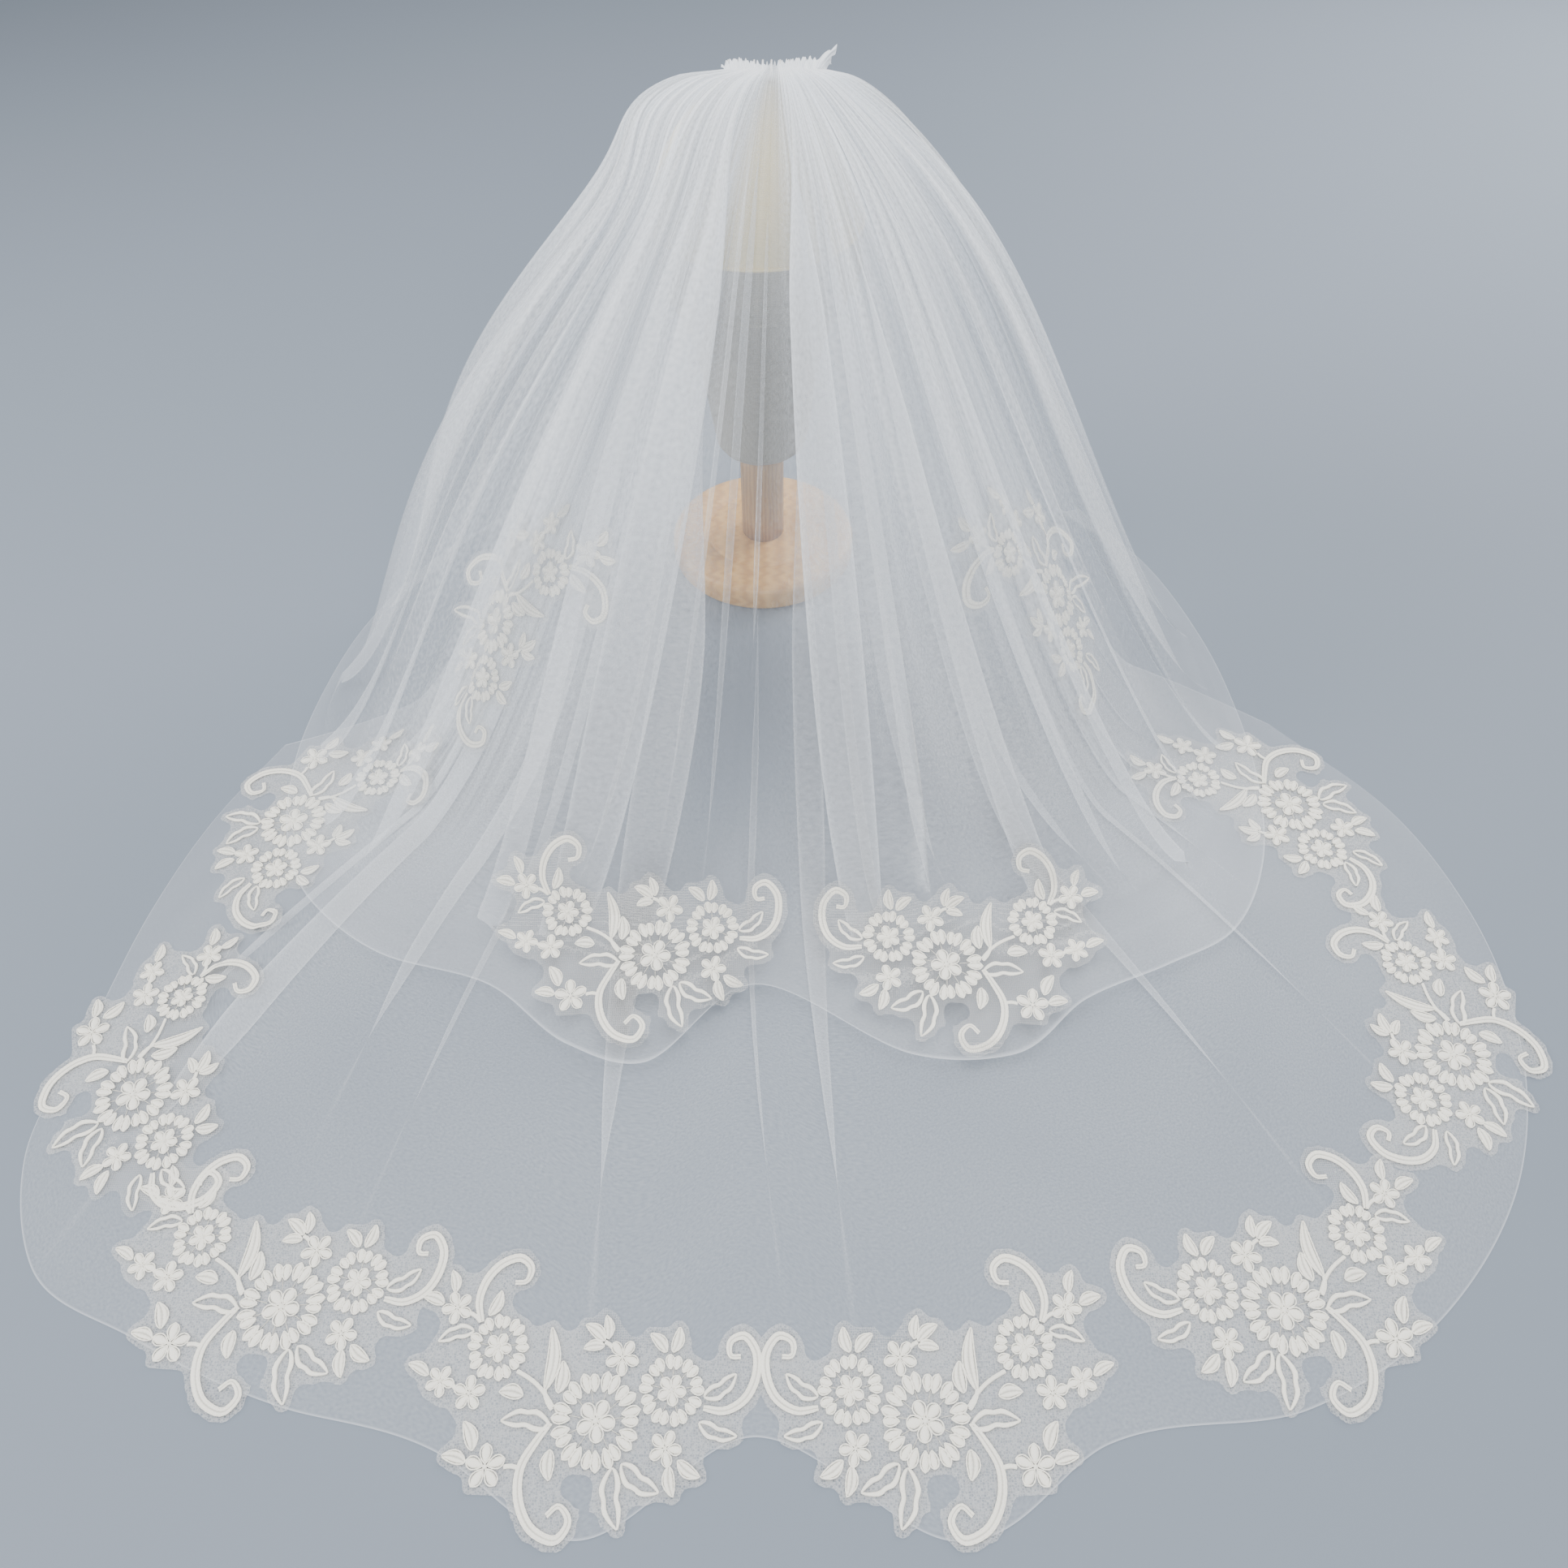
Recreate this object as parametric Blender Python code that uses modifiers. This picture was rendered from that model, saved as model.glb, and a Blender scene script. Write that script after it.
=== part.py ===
"""A two-tier bridal veil of soft tulle with lace sprays, resting on a wooden stand with a plain head form.

Metres, +Z up. The origin is the centre of the wooden base's underside, and the veil falls forward, to -Y.
"""

import math

import bmesh
import bpy
import numpy as np
from mathutils import Vector
from mathutils.bvhtree import BVHTree

MM = 0.001
CAST = 0.2  # metres above the cloth from which it is felt

# Stand and head form, mm
BASE_RADIUS = 90.0
BASE_HEIGHT = 26.0
POST_RADIUS = 20.5
NECK_BOTTOM = 128.0
COVER_LINE = 293.0
HEAD_TOP = 436.0
SEAM_GAP = 0.3

# Comb, mm
COMB_CENTRE_X = 15.0
COMB_WIDTH = 76.0
COMB_THICK = 1.6
COMB_BAR = 7.0
TOOTH_LENGTH = 27.0
TOOTH_WIDTH = 2.6
TEETH = 12

# Tulle, mm
WALL = 1.0
GATHER_WIDTH = 72.0
GATHER_DROP = 1.5
GATHER_DEPTH = 0.6  # of the pleats at the comb
SAMPLES_PER_PLEAT = 7
FAN = 0.62  # share of its turn to the side that each fall has taken as it leaves the comb
LANDING = 0.2  # share of each fall's run over which it lands
FLOOR_BEND = 0.35

# How each tier falls: the height of its gathered edge, how far it runs out before it drops and how high it
# humps, mm, the stretch of its fall over which the pleats open, and whether they stand out (1) or in (-1).
FALL_COLUMNS = ("gather_z", "reach", "hump", "opens_from", "opens_to", "side")
LOWER_FALL = (441.9, 100.0, 4.0, 0.3, 0.75, -1)
UPPER_FALL = (443.2, 128.0, 12.0, 0.08, 0.55, 1)

# Stretches of the fall, 1 at the foot and 2 at the hem: pleats lean over, flatten towards the floor, die
# out on it, and those that stood in turn to stand out.
LEANING = (0.05, 0.4)
FLATTENING = (0.55, 1.05)
FLATTENED = 0.78
DYING_OUT = (1.0, 1.7)
TURNING_OUT = (0.78, 0.98)

# The foot is where a fall of cloth meets the floor, and the hem is where it ends, mm.
TIER_COLUMNS = ("across", "foot_x", "foot_y", "hem_x", "hem_y", "floor_z")
LOWER_ROWS = (
    (0.00, -318, -212, -424, -262, 0),
    (0.05, -314, -250, -462, -340, 0),
    (0.11, -306, -292, -488, -434, 0),
    (0.17, -294, -325, -500, -536, 0),
    (0.22, -286, -345, -510, -640, 0),
    (0.26, -270, -364, -474, -716, 0),
    (0.31, -236, -386, -392, -758, 0),
    (0.37, -160, -410, -290, -796, 0),
    (0.41, -100, -420, -190, -820, 0),
    (0.44, -55, -424, -104, -866, 0),
    (0.48, -5, -425, 5, -812, 0),
    (0.52, 45, -424, 120, -866, 0),
    (0.57, 110, -419, 220, -816, 0),
    (0.64, 200, -400, 345, -798, 0),
    (0.71, 270, -362, 450, -742, 0),
    (0.78, 306, -322, 534, -650, 0),
    (0.84, 320, -288, 572, -550, 0),
    (0.90, 334, -250, 574, -436, 0),
    (0.95, 346, -208, 540, -336, 0),
    (1.00, 348, -165, 460, -240, 0),
)
UPPER_ROWS = (
    (0.00, -252, 58, -262, 62, 0),
    (0.06, -325, -20, -337, -22, 0),
    (0.11, -366, -106, -380, -110, 1),
    (0.16, -382, -190, -398, -200, 5),
    (0.21, -378, -278, -400, -290, 10),
    (0.26, -358, -348, -384, -372, 10),
    (0.31, -318, -398, -346, -432, 10),
    (0.35, -262, -432, -286, -474, 10),
    (0.39, -186, -455, -200, -500, 10),
    (0.43, -120, -464, -135, -548, 10),
    (0.46, -70, -468, -80, -562, 10),
    (0.50, 0, -468, 0, -500, 10),
    (0.54, 75, -468, 115, -556, 10),
    (0.57, 140, -462, 185, -556, 10),
    (0.61, 215, -448, 245, -512, 10),
    (0.65, 282, -424, 310, -484, 10),
    (0.70, 336, -390, 370, -452, 10),
    (0.75, 376, -340, 408, -388, 10),
    (0.80, 400, -272, 424, -306, 10),
    (0.85, 404, -200, 426, -222, 7),
    (0.90, 400, -124, 418, -130, 1),
    (0.95, 374, -30, 388, -30, 0),
    (1.00, 320, 58, 332, 62, 0),
)

# One row for each pleat: its width as a share of the others, its depth at mid fall, mm, and how far it leans.
PLEAT_COLUMNS = ("width", "depth", "lean")
LOWER_PLEATS = (
    (1.5, 3, 0.0),
    (1.0, 4, 0.0),
    (0.8, 7, 0.3),
    (1.2, 13, 1.3),
    (0.9, 15, 1.0),
    (1.1, 11, 0.4),
    (0.8, 14, -0.4),
    (1.0, 12, -1.0),
    (1.1, 15, -1.4),
    (0.8, 7, -0.3),
    (1.0, 4, 0.0),
    (1.5, 3, 0.0),
)
UPPER_PLEATS = (
    (1.0, 14, 0.3),
    (0.9, 20, 0.5),
    (1.1, 24, 0.8),
    (0.8, 20, 0.9),
    (1.1, 25, 0.9),
    (0.8, 18, 0.8),
    (1.2, 20, 0.5),
    (1.1, 12, 0.0),
    (0.8, 20, -0.6),
    (1.1, 24, -0.9),
    (0.8, 20, -0.9),
    (1.1, 25, -0.8),
    (0.9, 20, -0.5),
    (1.0, 14, -0.3),
)

# Steps down each tier: 0 to 1 from the comb to the foot, 1 to 2 from the foot to the hem.
LOWER_STEPS = (0.0, 0.08, 0.18, 0.3, 0.45, 0.6, 0.76, 0.9, 1.04, 1.25, 1.5, 1.75, 2.0)
UPPER_STEPS = (0.0, 0.08, 0.18, 0.3, 0.45, 0.6, 0.76, 0.9, 1.05, 2.0)

# Lace: one spray, mm and degrees. "along" runs beside the hem and "inward" away from it.
CORD = 1.2
LACE_GAP = 0.5
SLOPE_GAP = 0.7
LACE_STEP = 18.0
PROBES = 8  # places round each point where the folds under it are felt
STEM_WIDTH = 3.2
NOTCH = 0.74  # of a flower's radius
SCROLL_STEPS = 5
SCROLL_BEND = (8, 17)  # the turn at a scroll's first step, and how much it grows at each
SCROLL_RUN = 1.25
SCROLL_WIDTH = (4.4, 2.4)  # at its ends, and how much wider it is midway
FLOWER_COLUMNS = ("along", "inward", "radius", "petals")
FLOWERS = (
    (0, 0, 27, 6),
    (-41, 20, 20, 5),
    (64, 33, 19, 5),
    (54, -36, 13, 5),
    (93, 66, 12, 5),
)
LEAF_COLUMNS = ("along", "inward", "length", "width", "turn")
LEAVES = (
    (15, 15, 40, 12, 62),
    (20, 2, 46, 12, -6),
    (12, -16, 42, 13, -80),
    (-10, -18, 42, 13, -118),
    (76, 32, 40, 10, 4),
    (-4, 16, 38, 14, 98),
)
STEM_COLUMNS = ("along", "inward", "to_along", "to_inward")
STEMS = (
    (10, 6, 56, 30),
    (70, 42, 90, 62),
    (-15, 8, -30, 16),
    (8, -6, 50, -33),
)
SCROLL_COLUMNS = ("along", "inward", "length", "turn", "curl")
SCROLLS = (
    (66, 46, 62, 100, 1),
    (-50, 30, 66, 125, -1),
    (6, -24, 58, -62, -1),
)

# Where each spray lies: its tier, its main flower's place, the turn of its length, which hand it is, and
# the slope and facing of the cloth there, mm and degrees.
SPRAY_COLUMNS = ("name", "tier", "x", "y", "turn", "hand", "slope", "facing")
SPRAYS = (
    ("lace_floor_1", "lower_tier", -390, -343, -114, -1, 0, 0),
    ("lace_floor_2", "lower_tier", -440, -582, -68, -1, 0, 0),
    ("lace_floor_3", "lower_tier", -298, -722, -4, -1, 0, 0),
    ("lace_floor_4", "lower_tier", -92, -786, -2, -1, 0, 0),
    ("lace_floor_5", "lower_tier", 106, -786, 2, 1, 0, 0),
    ("lace_floor_6", "lower_tier", 338, -724, 8, 1, 0, 0),
    ("lace_floor_7", "lower_tier", 507, -552, 67, 1, 0, 0),
    ("lace_floor_8", "lower_tier", 449, -326, 130, 1, 0, 0),
    ("lace_side_left", "lower_tier", -214, -221, -90, -1, 45, -47),
    ("lace_side_right", "lower_tier", 250, -186, 90, 1, 45, 58),
    ("lace_upper_left", "upper_tier", -76, -478, 4, -1, 25, 0),
    ("lace_upper_right", "upper_tier", 143, -484, -4, 1, 25, 0),
)


def table(columns, rows):
    """The rows as one array for each named column."""
    values = np.array(rows, float)
    return {name: values[:, i] for i, name in enumerate(columns)}


def through(places, values, at):
    """A smooth curve through the values, read at these places."""
    slopes = np.gradient(values, places)
    i = np.clip(np.searchsorted(places, at, side="right") - 1, 0, len(places) - 2)
    span = places[i + 1] - places[i]
    t = (at - places[i]) / span
    start = (2 * t**3 - 3 * t**2 + 1) * values[i] + (t**3 - 2 * t**2 + t) * span * slopes[i]
    end = (3 * t**2 - 2 * t**3) * values[i + 1] + (t**3 - t**2) * span * slopes[i + 1]
    return start + end


def ease(low, high, value):
    """0 below low, 1 above high and smooth between."""
    t = np.clip((value - low) / (high - low), 0, 1)
    return t * t * (3 - 2 * t)


def material(name, colour, roughness, metallic=0.0):
    made = bpy.data.materials.new(name)
    made.use_nodes = True
    shader = made.node_tree.nodes["Principled BSDF"]
    shader.inputs["Base Color"].default_value = (*colour, 1)
    shader.inputs["Roughness"].default_value = roughness
    shader.inputs["Metallic"].default_value = metallic
    return made


def new_object(name, mesh, finish, collection):
    made = bpy.data.objects.new(name, mesh)
    mesh.materials.append(finish)
    collection.objects.link(made)
    return made


def turned(name, profile, sides, finish, collection):
    """A solid of revolution from (radius, height) pairs in mm, listed top to bottom down its outer side."""
    mesh = bpy.data.meshes.new(name)
    points = [(radius * MM, 0, height * MM) for radius, height in profile]
    mesh.from_pydata(points, [(i, i + 1) for i in range(len(points) - 1)], [])
    made = new_object(name, mesh, finish, collection)
    screw = made.modifiers.new("turn", "SCREW")
    screw.steps = sides
    screw.render_steps = sides
    screw.use_merge_vertices = True
    screw.merge_threshold = 0.0001
    return made


class Tier:
    """One gathered tier: falls from the comb to the floor, then flat to the hem, laid in pleats."""

    def __init__(self, rows, pleats, fall):
        self.rows = table(TIER_COLUMNS, rows)
        self.pleats = table(PLEAT_COLUMNS, pleats)
        self.fall = dict(zip(FALL_COLUMNS, fall))
        ends = np.concatenate([[0], np.cumsum(self.pleats["width"])])
        self.ends = ends / ends[-1]

    def column(self, name, across):
        return through(self.rows["across"], self.rows[name], across)

    def plain(self, across, down):
        """The unpleated sheet's point at each place, mm."""
        across = np.clip(across, 0, 1)
        gather = np.stack(
            [
                COMB_CENTRE_X + (across - 0.5) * GATHER_WIDTH,
                np.zeros_like(across),
                self.fall["gather_z"] - GATHER_DROP * (2 * across - 1) ** 2,
            ],
            axis=-1,
        )
        low = self.column("floor_z", across) + WALL / 2
        foot = np.stack([self.column("foot_x", across), self.column("foot_y", across), low], -1)
        hem = np.stack([self.column("hem_x", across), self.column("hem_y", across), low], -1)
        run = foot - gather
        run[..., 2] = 0
        length = np.linalg.norm(run, axis=-1, keepdims=True)
        run /= length
        leaving = np.arctan2(run[..., 0], -run[..., 1]) * FAN
        start = np.stack([np.sin(leaving), -np.cos(leaving), np.zeros_like(leaving)], axis=-1)
        over = gather + start * self.fall["reach"] + np.array([0, 0, self.fall["hump"]])
        landing = foot - run * length * LANDING
        if down <= 1:
            t = down
            return (
                (1 - t) ** 3 * gather
                + 3 * (1 - t) ** 2 * t * over
                + 3 * (1 - t) * t**2 * landing
                + t**3 * foot
            )
        t = down - 1
        bend = foot + run * np.linalg.norm(hem - foot, axis=-1, keepdims=True) * FLOOR_BEND
        return (1 - t) ** 2 * foot + 2 * (1 - t) * t * bend + t**2 * hem

    def frame(self, across, down):
        """Point, direction across and direction out of the plain sheet."""
        step = 0.002
        here = self.plain(across, down)
        beside = self.plain(across + step, down) - self.plain(across - step, down)
        below = self.plain(across, min(down + step, 2.0)) - self.plain(across, max(down - step, 0.0))
        out = np.cross(below, beside)
        out /= np.linalg.norm(out, axis=-1, keepdims=True)
        beside /= np.linalg.norm(beside, axis=-1, keepdims=True)
        return here, beside, out

    def middle(self, across, down):
        """The pleated sheet's middle surface, mm."""
        here, beside, out = self.frame(across, down)
        i = np.clip(np.searchsorted(self.ends, across, side="right") - 1, 0, len(self.ends) - 2)
        part = (across - self.ends[i]) / (self.ends[i + 1] - self.ends[i])
        wave = (1 - np.cos(2 * math.pi * part)) / 2
        opened = ease(self.fall["opens_from"], self.fall["opens_to"], down)
        fading = 1 - ease(*FLATTENING, down) * FLATTENED
        on_floor = 1 - ease(*DYING_OUT, down)
        depth = GATHER_DEPTH + (self.pleats["depth"][i] - GATHER_DEPTH) * opened
        raised = depth * fading * on_floor * wave
        side = self.fall["side"]
        if side < 0:
            side = -1 + 2 * float(ease(*TURNING_OUT, down))
        lean = self.pleats["lean"][i] * ease(*LEANING, down)
        return here + out * (raised * side)[:, None] + beside * (lean * raised)[:, None]


def sheet(name, tier, steps, finish, collection):
    """The tier as a closed wall, its two faces half a thickness either side of the pleated middle."""
    pleats = len(tier.pleats["width"])
    within = np.arange(SAMPLES_PER_PLEAT) / SAMPLES_PER_PLEAT
    widths = np.diff(tier.ends)
    across = np.concatenate([tier.ends[i] + within * widths[i] for i in range(pleats)] + [[1.0]])
    grid = np.stack([tier.middle(across, down) for down in steps])
    beside = np.gradient(grid, axis=1)
    below = np.gradient(grid, axis=0)
    out = np.cross(below, beside)
    out /= np.linalg.norm(out, axis=-1, keepdims=True)
    faces_of = [grid + out * WALL / 2, grid - out * WALL / 2]
    faces_of[1][..., 2] = np.maximum(faces_of[1][..., 2], 0.0)
    points = np.concatenate([side.reshape(-1, 3) for side in faces_of]) * MM
    down_count, across_count = grid.shape[:2]
    back = down_count * across_count

    def index(row, column, side):
        return side * back + row * across_count + column

    faces = []
    for row in range(down_count - 1):
        for column in range(across_count - 1):
            corners = [(row, column), (row + 1, column), (row + 1, column + 1), (row, column + 1)]
            faces.append([index(*corner, 0) for corner in corners])
            faces.append([index(*corner, 1) for corner in reversed(corners)])
    rim = [(0, column) for column in range(across_count)]
    rim += [(row, across_count - 1) for row in range(1, down_count)]
    rim += [(down_count - 1, column) for column in range(across_count - 2, -1, -1)]
    rim += [(row, 0) for row in range(down_count - 2, 0, -1)]
    for here, after in zip(rim, rim[1:] + rim[:1]):
        faces.append([index(*here, 0), index(*after, 0), index(*after, 1), index(*here, 1)])
    mesh = bpy.data.meshes.new(name)
    mesh.from_pydata(points.tolist(), [], faces)
    new_object(name, mesh, finish, collection)
    close_body(mesh)
    outer = faces_of[0].reshape(-1, 3) * MM
    top = [face for face in faces if max(face) < back]
    return BVHTree.FromPolygons([Vector(point) for point in outer], top)


def close_body(mesh):
    """Turns every face outwards and cuts the faces to triangles."""
    work = bmesh.new()
    work.from_mesh(mesh)
    bmesh.ops.recalc_face_normals(work, faces=work.faces)
    bmesh.ops.triangulate(work, faces=work.faces)
    work.to_mesh(mesh)
    work.free()


def flower_outline(along, inward, radius, petals):
    """A ring of rounded petals, with a point at each petal's tip and one in each notch."""
    outline = []
    for i in range(2 * petals):
        reach = radius * (1.0 if i % 2 == 0 else NOTCH)
        angle = math.pi * i / petals
        outline.append((along + reach * math.cos(angle), inward + reach * math.sin(angle)))
    return outline


def leaf_outline(along, inward, length, width, turn):
    """A pointed leaf that starts at its stem."""
    angle = math.radians(turn)
    run = (math.cos(angle), math.sin(angle))
    shape = ((0, 0), (length / 2, -width / 2), (length, 0), (length / 2, width / 2))
    return [(along + x * run[0] - y * run[1], inward + x * run[1] + y * run[0]) for x, y in shape]


def stem_outline(along, inward, to_along, to_inward):
    """A straight length of cord."""
    run = math.hypot(to_along - along, to_inward - inward)
    x = (to_inward - inward) / run * STEM_WIDTH / 2
    y = (along - to_along) / run * STEM_WIDTH / 2
    return [
        (along - x, inward - y),
        (along + x, inward + y),
        (to_along + x, to_inward + y),
        (to_along - x, to_inward - y),
    ]


def scroll_outline(along, inward, length, turn, curl):
    """A cord that runs out and curls back on itself, thickest where it turns."""
    centre = []
    angle = math.radians(turn)
    x, y = along, inward
    stride = length / SCROLL_STEPS * SCROLL_RUN
    for i in range(SCROLL_STEPS + 1):
        centre.append((x, y, angle))
        angle += curl * math.radians(SCROLL_BEND[0] + SCROLL_BEND[1] * i)
        x += stride * math.cos(angle)
        y += stride * math.sin(angle)
    left, right = [], []
    for i, (x, y, angle) in enumerate(centre):
        half = (SCROLL_WIDTH[0] + SCROLL_WIDTH[1] * math.sin(math.pi * i / SCROLL_STEPS)) / 2
        left.append((x - half * math.sin(angle), y + half * math.cos(angle)))
        right.append((x + half * math.sin(angle), y - half * math.cos(angle)))
    return left + right[::-1]


def prism(outline, collection):
    """A flat outline raised by the cord's height, as a helper object for a join."""
    count = len(outline)
    points = [(x * MM, y * MM, 0) for x, y in outline]
    points += [(x * MM, y * MM, CORD * MM) for x, y in outline]
    faces = [list(range(count))[::-1], list(range(count, 2 * count))]
    faces += [[i, (i + 1) % count, count + (i + 1) % count, count + i] for i in range(count)]
    mesh = bpy.data.meshes.new("lace_element")
    mesh.from_pydata(points, [], faces)
    close_body(mesh)
    made = bpy.data.objects.new("lace_element", mesh)
    made.hide_render = True
    made.display_type = "WIRE"
    collection.objects.link(made)
    return made


def flat_spray(collection):
    """One spray of lace as a flat mesh in mm, with its underside at height 0."""
    pieces = []
    for shape, columns, rows in (
        (flower_outline, FLOWER_COLUMNS, FLOWERS),
        (leaf_outline, LEAF_COLUMNS, LEAVES),
        (scroll_outline, SCROLL_COLUMNS, SCROLLS),
        (stem_outline, STEM_COLUMNS, STEMS),
    ):
        for row in rows:
            outline = shape(**dict(zip(columns, row)))
            pieces.append(prism(outline, collection))
    whole = pieces[0]
    for piece in pieces[1:]:
        join = whole.modifiers.new("join", "BOOLEAN")
        join.operation = "UNION"
        join.solver = "EXACT"
        join.object = piece
    mesh = bpy.data.meshes.new_from_object(whole.evaluated_get(bpy.context.evaluated_depsgraph_get()))
    work = bmesh.new()
    work.from_mesh(mesh)
    bmesh.ops.remove_doubles(work, verts=work.verts, dist=0.00002)
    bmesh.ops.dissolve_limit(work, angle_limit=0.01, verts=work.verts, edges=work.edges)
    bmesh.ops.triangulate(work, faces=work.faces)
    work.verts.index_update()
    points = np.array([vertex.co[:] for vertex in work.verts]) / MM
    faces = [[vertex.index for vertex in face.verts] for face in work.faces]
    work.free()
    for piece in pieces:
        bpy.data.objects.remove(piece)
    return points, faces


def finer(points, faces):
    """The same flat spray with its long edges cut, so that it can follow a fold."""
    mesh = bpy.data.meshes.new("lace_element")
    mesh.from_pydata(points.tolist(), [], faces)
    work = bmesh.new()
    work.from_mesh(mesh)
    long_edges = [edge for edge in work.edges if edge.calc_length() > LACE_STEP]
    while long_edges:
        bmesh.ops.subdivide_edges(work, edges=long_edges, cuts=1)
        bmesh.ops.triangulate(work, faces=[face for face in work.faces if len(face.verts) > 3])
        long_edges = [edge for edge in work.edges if edge.calc_length() > LACE_STEP * 1.5]
    work.verts.index_update()
    cut_points = np.array([vertex.co[:] for vertex in work.verts])
    cut_faces = [[vertex.index for vertex in face.verts] for face in work.faces]
    work.free()
    return cut_points, cut_faces


def drape(points, tree, x, y, turn, slope, facing, hand):
    """The spray pressed onto a tier along the cloth's own slope and held just clear of its folds, mm."""
    face, tip, spin = (math.radians(angle) for angle in (facing, slope, turn))
    level = Vector((math.cos(face), math.sin(face), 0))
    out = Vector((math.sin(face) * math.sin(tip), -math.cos(face) * math.sin(tip), math.cos(tip)))
    uphill = out.cross(level)
    along = level * math.cos(spin) + uphill * math.sin(spin)
    inward = uphill * math.cos(spin) - level * math.sin(spin)
    centre = tree.ray_cast(Vector((x * MM, y * MM, 1)), Vector((0, 0, -1)))[0]
    probes = [(0, 0)]
    if slope:
        ring = [2 * math.pi * i / PROBES for i in range(PROBES)]
        probes += [(LACE_STEP / 2 * math.cos(angle), LACE_STEP / 2 * math.sin(angle)) for angle in ring]
    gap = SLOPE_GAP if slope else LACE_GAP
    laid = []
    for s, t, height in points:
        place = centre + along * (s * hand * MM) + inward * (t * MM)
        lifts = []
        for ds, dt in probes:
            above = place + along * (ds * MM) + inward * (dt * MM) + out * CAST
            seat = tree.ray_cast(above, -out)[0]
            if seat is not None:
                lifts.append((seat - place).dot(out) / MM)
        laid.append(place / MM + out * (max(lifts, default=0.0) + gap + height))
    return np.array([point[:] for point in laid])


def lace(name, points, faces, hand, finish, collection):
    mesh = bpy.data.meshes.new(name)
    ordered = faces if hand > 0 else [face[::-1] for face in faces]
    mesh.from_pydata((points * MM).tolist(), [], ordered)
    made = new_object(name, mesh, finish, collection)
    close_body(mesh)
    return made


def build_stand(collection):
    wood = material("beech", (0.62, 0.40, 0.20), 0.45)
    groove = 55.0
    base_profile = (
        (0, BASE_HEIGHT),
        (groove - 3, BASE_HEIGHT),
        (groove, BASE_HEIGHT - 1.8),
        (groove + 3, BASE_HEIGHT),
        (BASE_RADIUS - 7, BASE_HEIGHT),
        (BASE_RADIUS - 1.5, BASE_HEIGHT - 3.5),
        (BASE_RADIUS, BASE_HEIGHT - 9),
        (BASE_RADIUS, 2.5),
        (BASE_RADIUS - 2.5, 0),
        (0, 0),
    )
    turned("stand_base", base_profile, 28, wood, collection)
    post_profile = (
        (0, NECK_BOTTOM - SEAM_GAP),
        (POST_RADIUS, NECK_BOTTOM - SEAM_GAP),
        (POST_RADIUS, BASE_HEIGHT + SEAM_GAP),
        (0, BASE_HEIGHT + SEAM_GAP),
    )
    turned("stand_post", post_profile, 16, material("post_wood", (0.42, 0.26, 0.14), 0.5), collection)
    neck_profile = (
        (0, COVER_LINE - SEAM_GAP),
        (81, COVER_LINE - SEAM_GAP),
        (70, 268),
        (57, 240),
        (50, 200),
        (45, 160),
        (40, 138),
        (32, NECK_BOTTOM),
        (0, NECK_BOTTOM),
    )
    turned("head_neck", neck_profile, 20, material("grey_linen", (0.36, 0.34, 0.30), 0.9), collection)
    crown_profile = (
        (0, HEAD_TOP),
        (22, 432),
        (42, 420),
        (60, 402),
        (74, 378),
        (83, 346),
        (84, 315),
        (81, COVER_LINE),
        (0, COVER_LINE),
    )
    turned("head_crown", crown_profile, 20, material("cream_cloth", (0.78, 0.70, 0.50), 0.9), collection)


def build_comb(collection):
    """A bar with a row of teeth, cut from one flat outline."""
    pitch = COMB_WIDTH / TEETH
    left = COMB_CENTRE_X - COMB_WIDTH / 2
    outline = [(left, -COMB_BAR / 2), (left + COMB_WIDTH, -COMB_BAR / 2), (left + COMB_WIDTH, COMB_BAR / 2)]
    for i in range(TEETH - 1, -1, -1):
        middle = left + (i + 0.5) * pitch
        outline += [
            (middle + TOOTH_WIDTH / 2, COMB_BAR / 2),
            (middle + TOOTH_WIDTH / 4, COMB_BAR / 2 + TOOTH_LENGTH),
            (middle - TOOTH_WIDTH / 4, COMB_BAR / 2 + TOOTH_LENGTH),
            (middle - TOOTH_WIDTH / 2, COMB_BAR / 2),
        ]
    outline.append((left, COMB_BAR / 2))
    curve = bpy.data.curves.new("comb", "CURVE")
    curve.dimensions = "2D"
    curve.fill_mode = "BOTH"
    curve.extrude = COMB_THICK / 2 * MM
    spline = curve.splines.new("POLY")
    spline.points.add(len(outline) - 1)
    for point, (x, y) in zip(spline.points, outline):
        point.co = (x * MM, y * MM, 0, 1)
    spline.use_cyclic_u = True
    curve.materials.append(material("comb", (0.85, 0.85, 0.83), 0.3))
    made = bpy.data.objects.new("comb", curve)
    made.location.z = (HEAD_TOP + SEAM_GAP + COMB_THICK / 2) * MM
    collection.objects.link(made)


def main():
    for old in list(bpy.data.objects):
        bpy.data.objects.remove(old)
    veil = bpy.data.collections.new("bridal_veil")
    helpers = bpy.data.collections.new("helpers")
    for collection in (veil, helpers):
        bpy.context.scene.collection.children.link(collection)
    build_stand(veil)
    build_comb(veil)
    tulle = material("tulle", (0.92, 0.93, 0.95), 0.6)
    lower = Tier(LOWER_ROWS, LOWER_PLEATS, LOWER_FALL)
    upper = Tier(UPPER_ROWS, UPPER_PLEATS, UPPER_FALL)
    trees = {
        "lower_tier": sheet("lower_tier", lower, LOWER_STEPS, tulle, veil),
        "upper_tier": sheet("upper_tier", upper, UPPER_STEPS, tulle, veil),
    }
    cord = material("lace_cord", (0.93, 0.91, 0.84), 0.7)
    flat = flat_spray(helpers)
    folded = finer(*flat)
    for row in SPRAYS:
        place = dict(zip(SPRAY_COLUMNS, row))
        name = place.pop("name")
        tree = trees[place.pop("tier")]
        points, faces = folded if place["slope"] else flat
        laid = drape(points, tree, **place)
        lace(name, laid, faces, place["hand"], cord, veil)


main()
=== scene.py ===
import math

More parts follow.
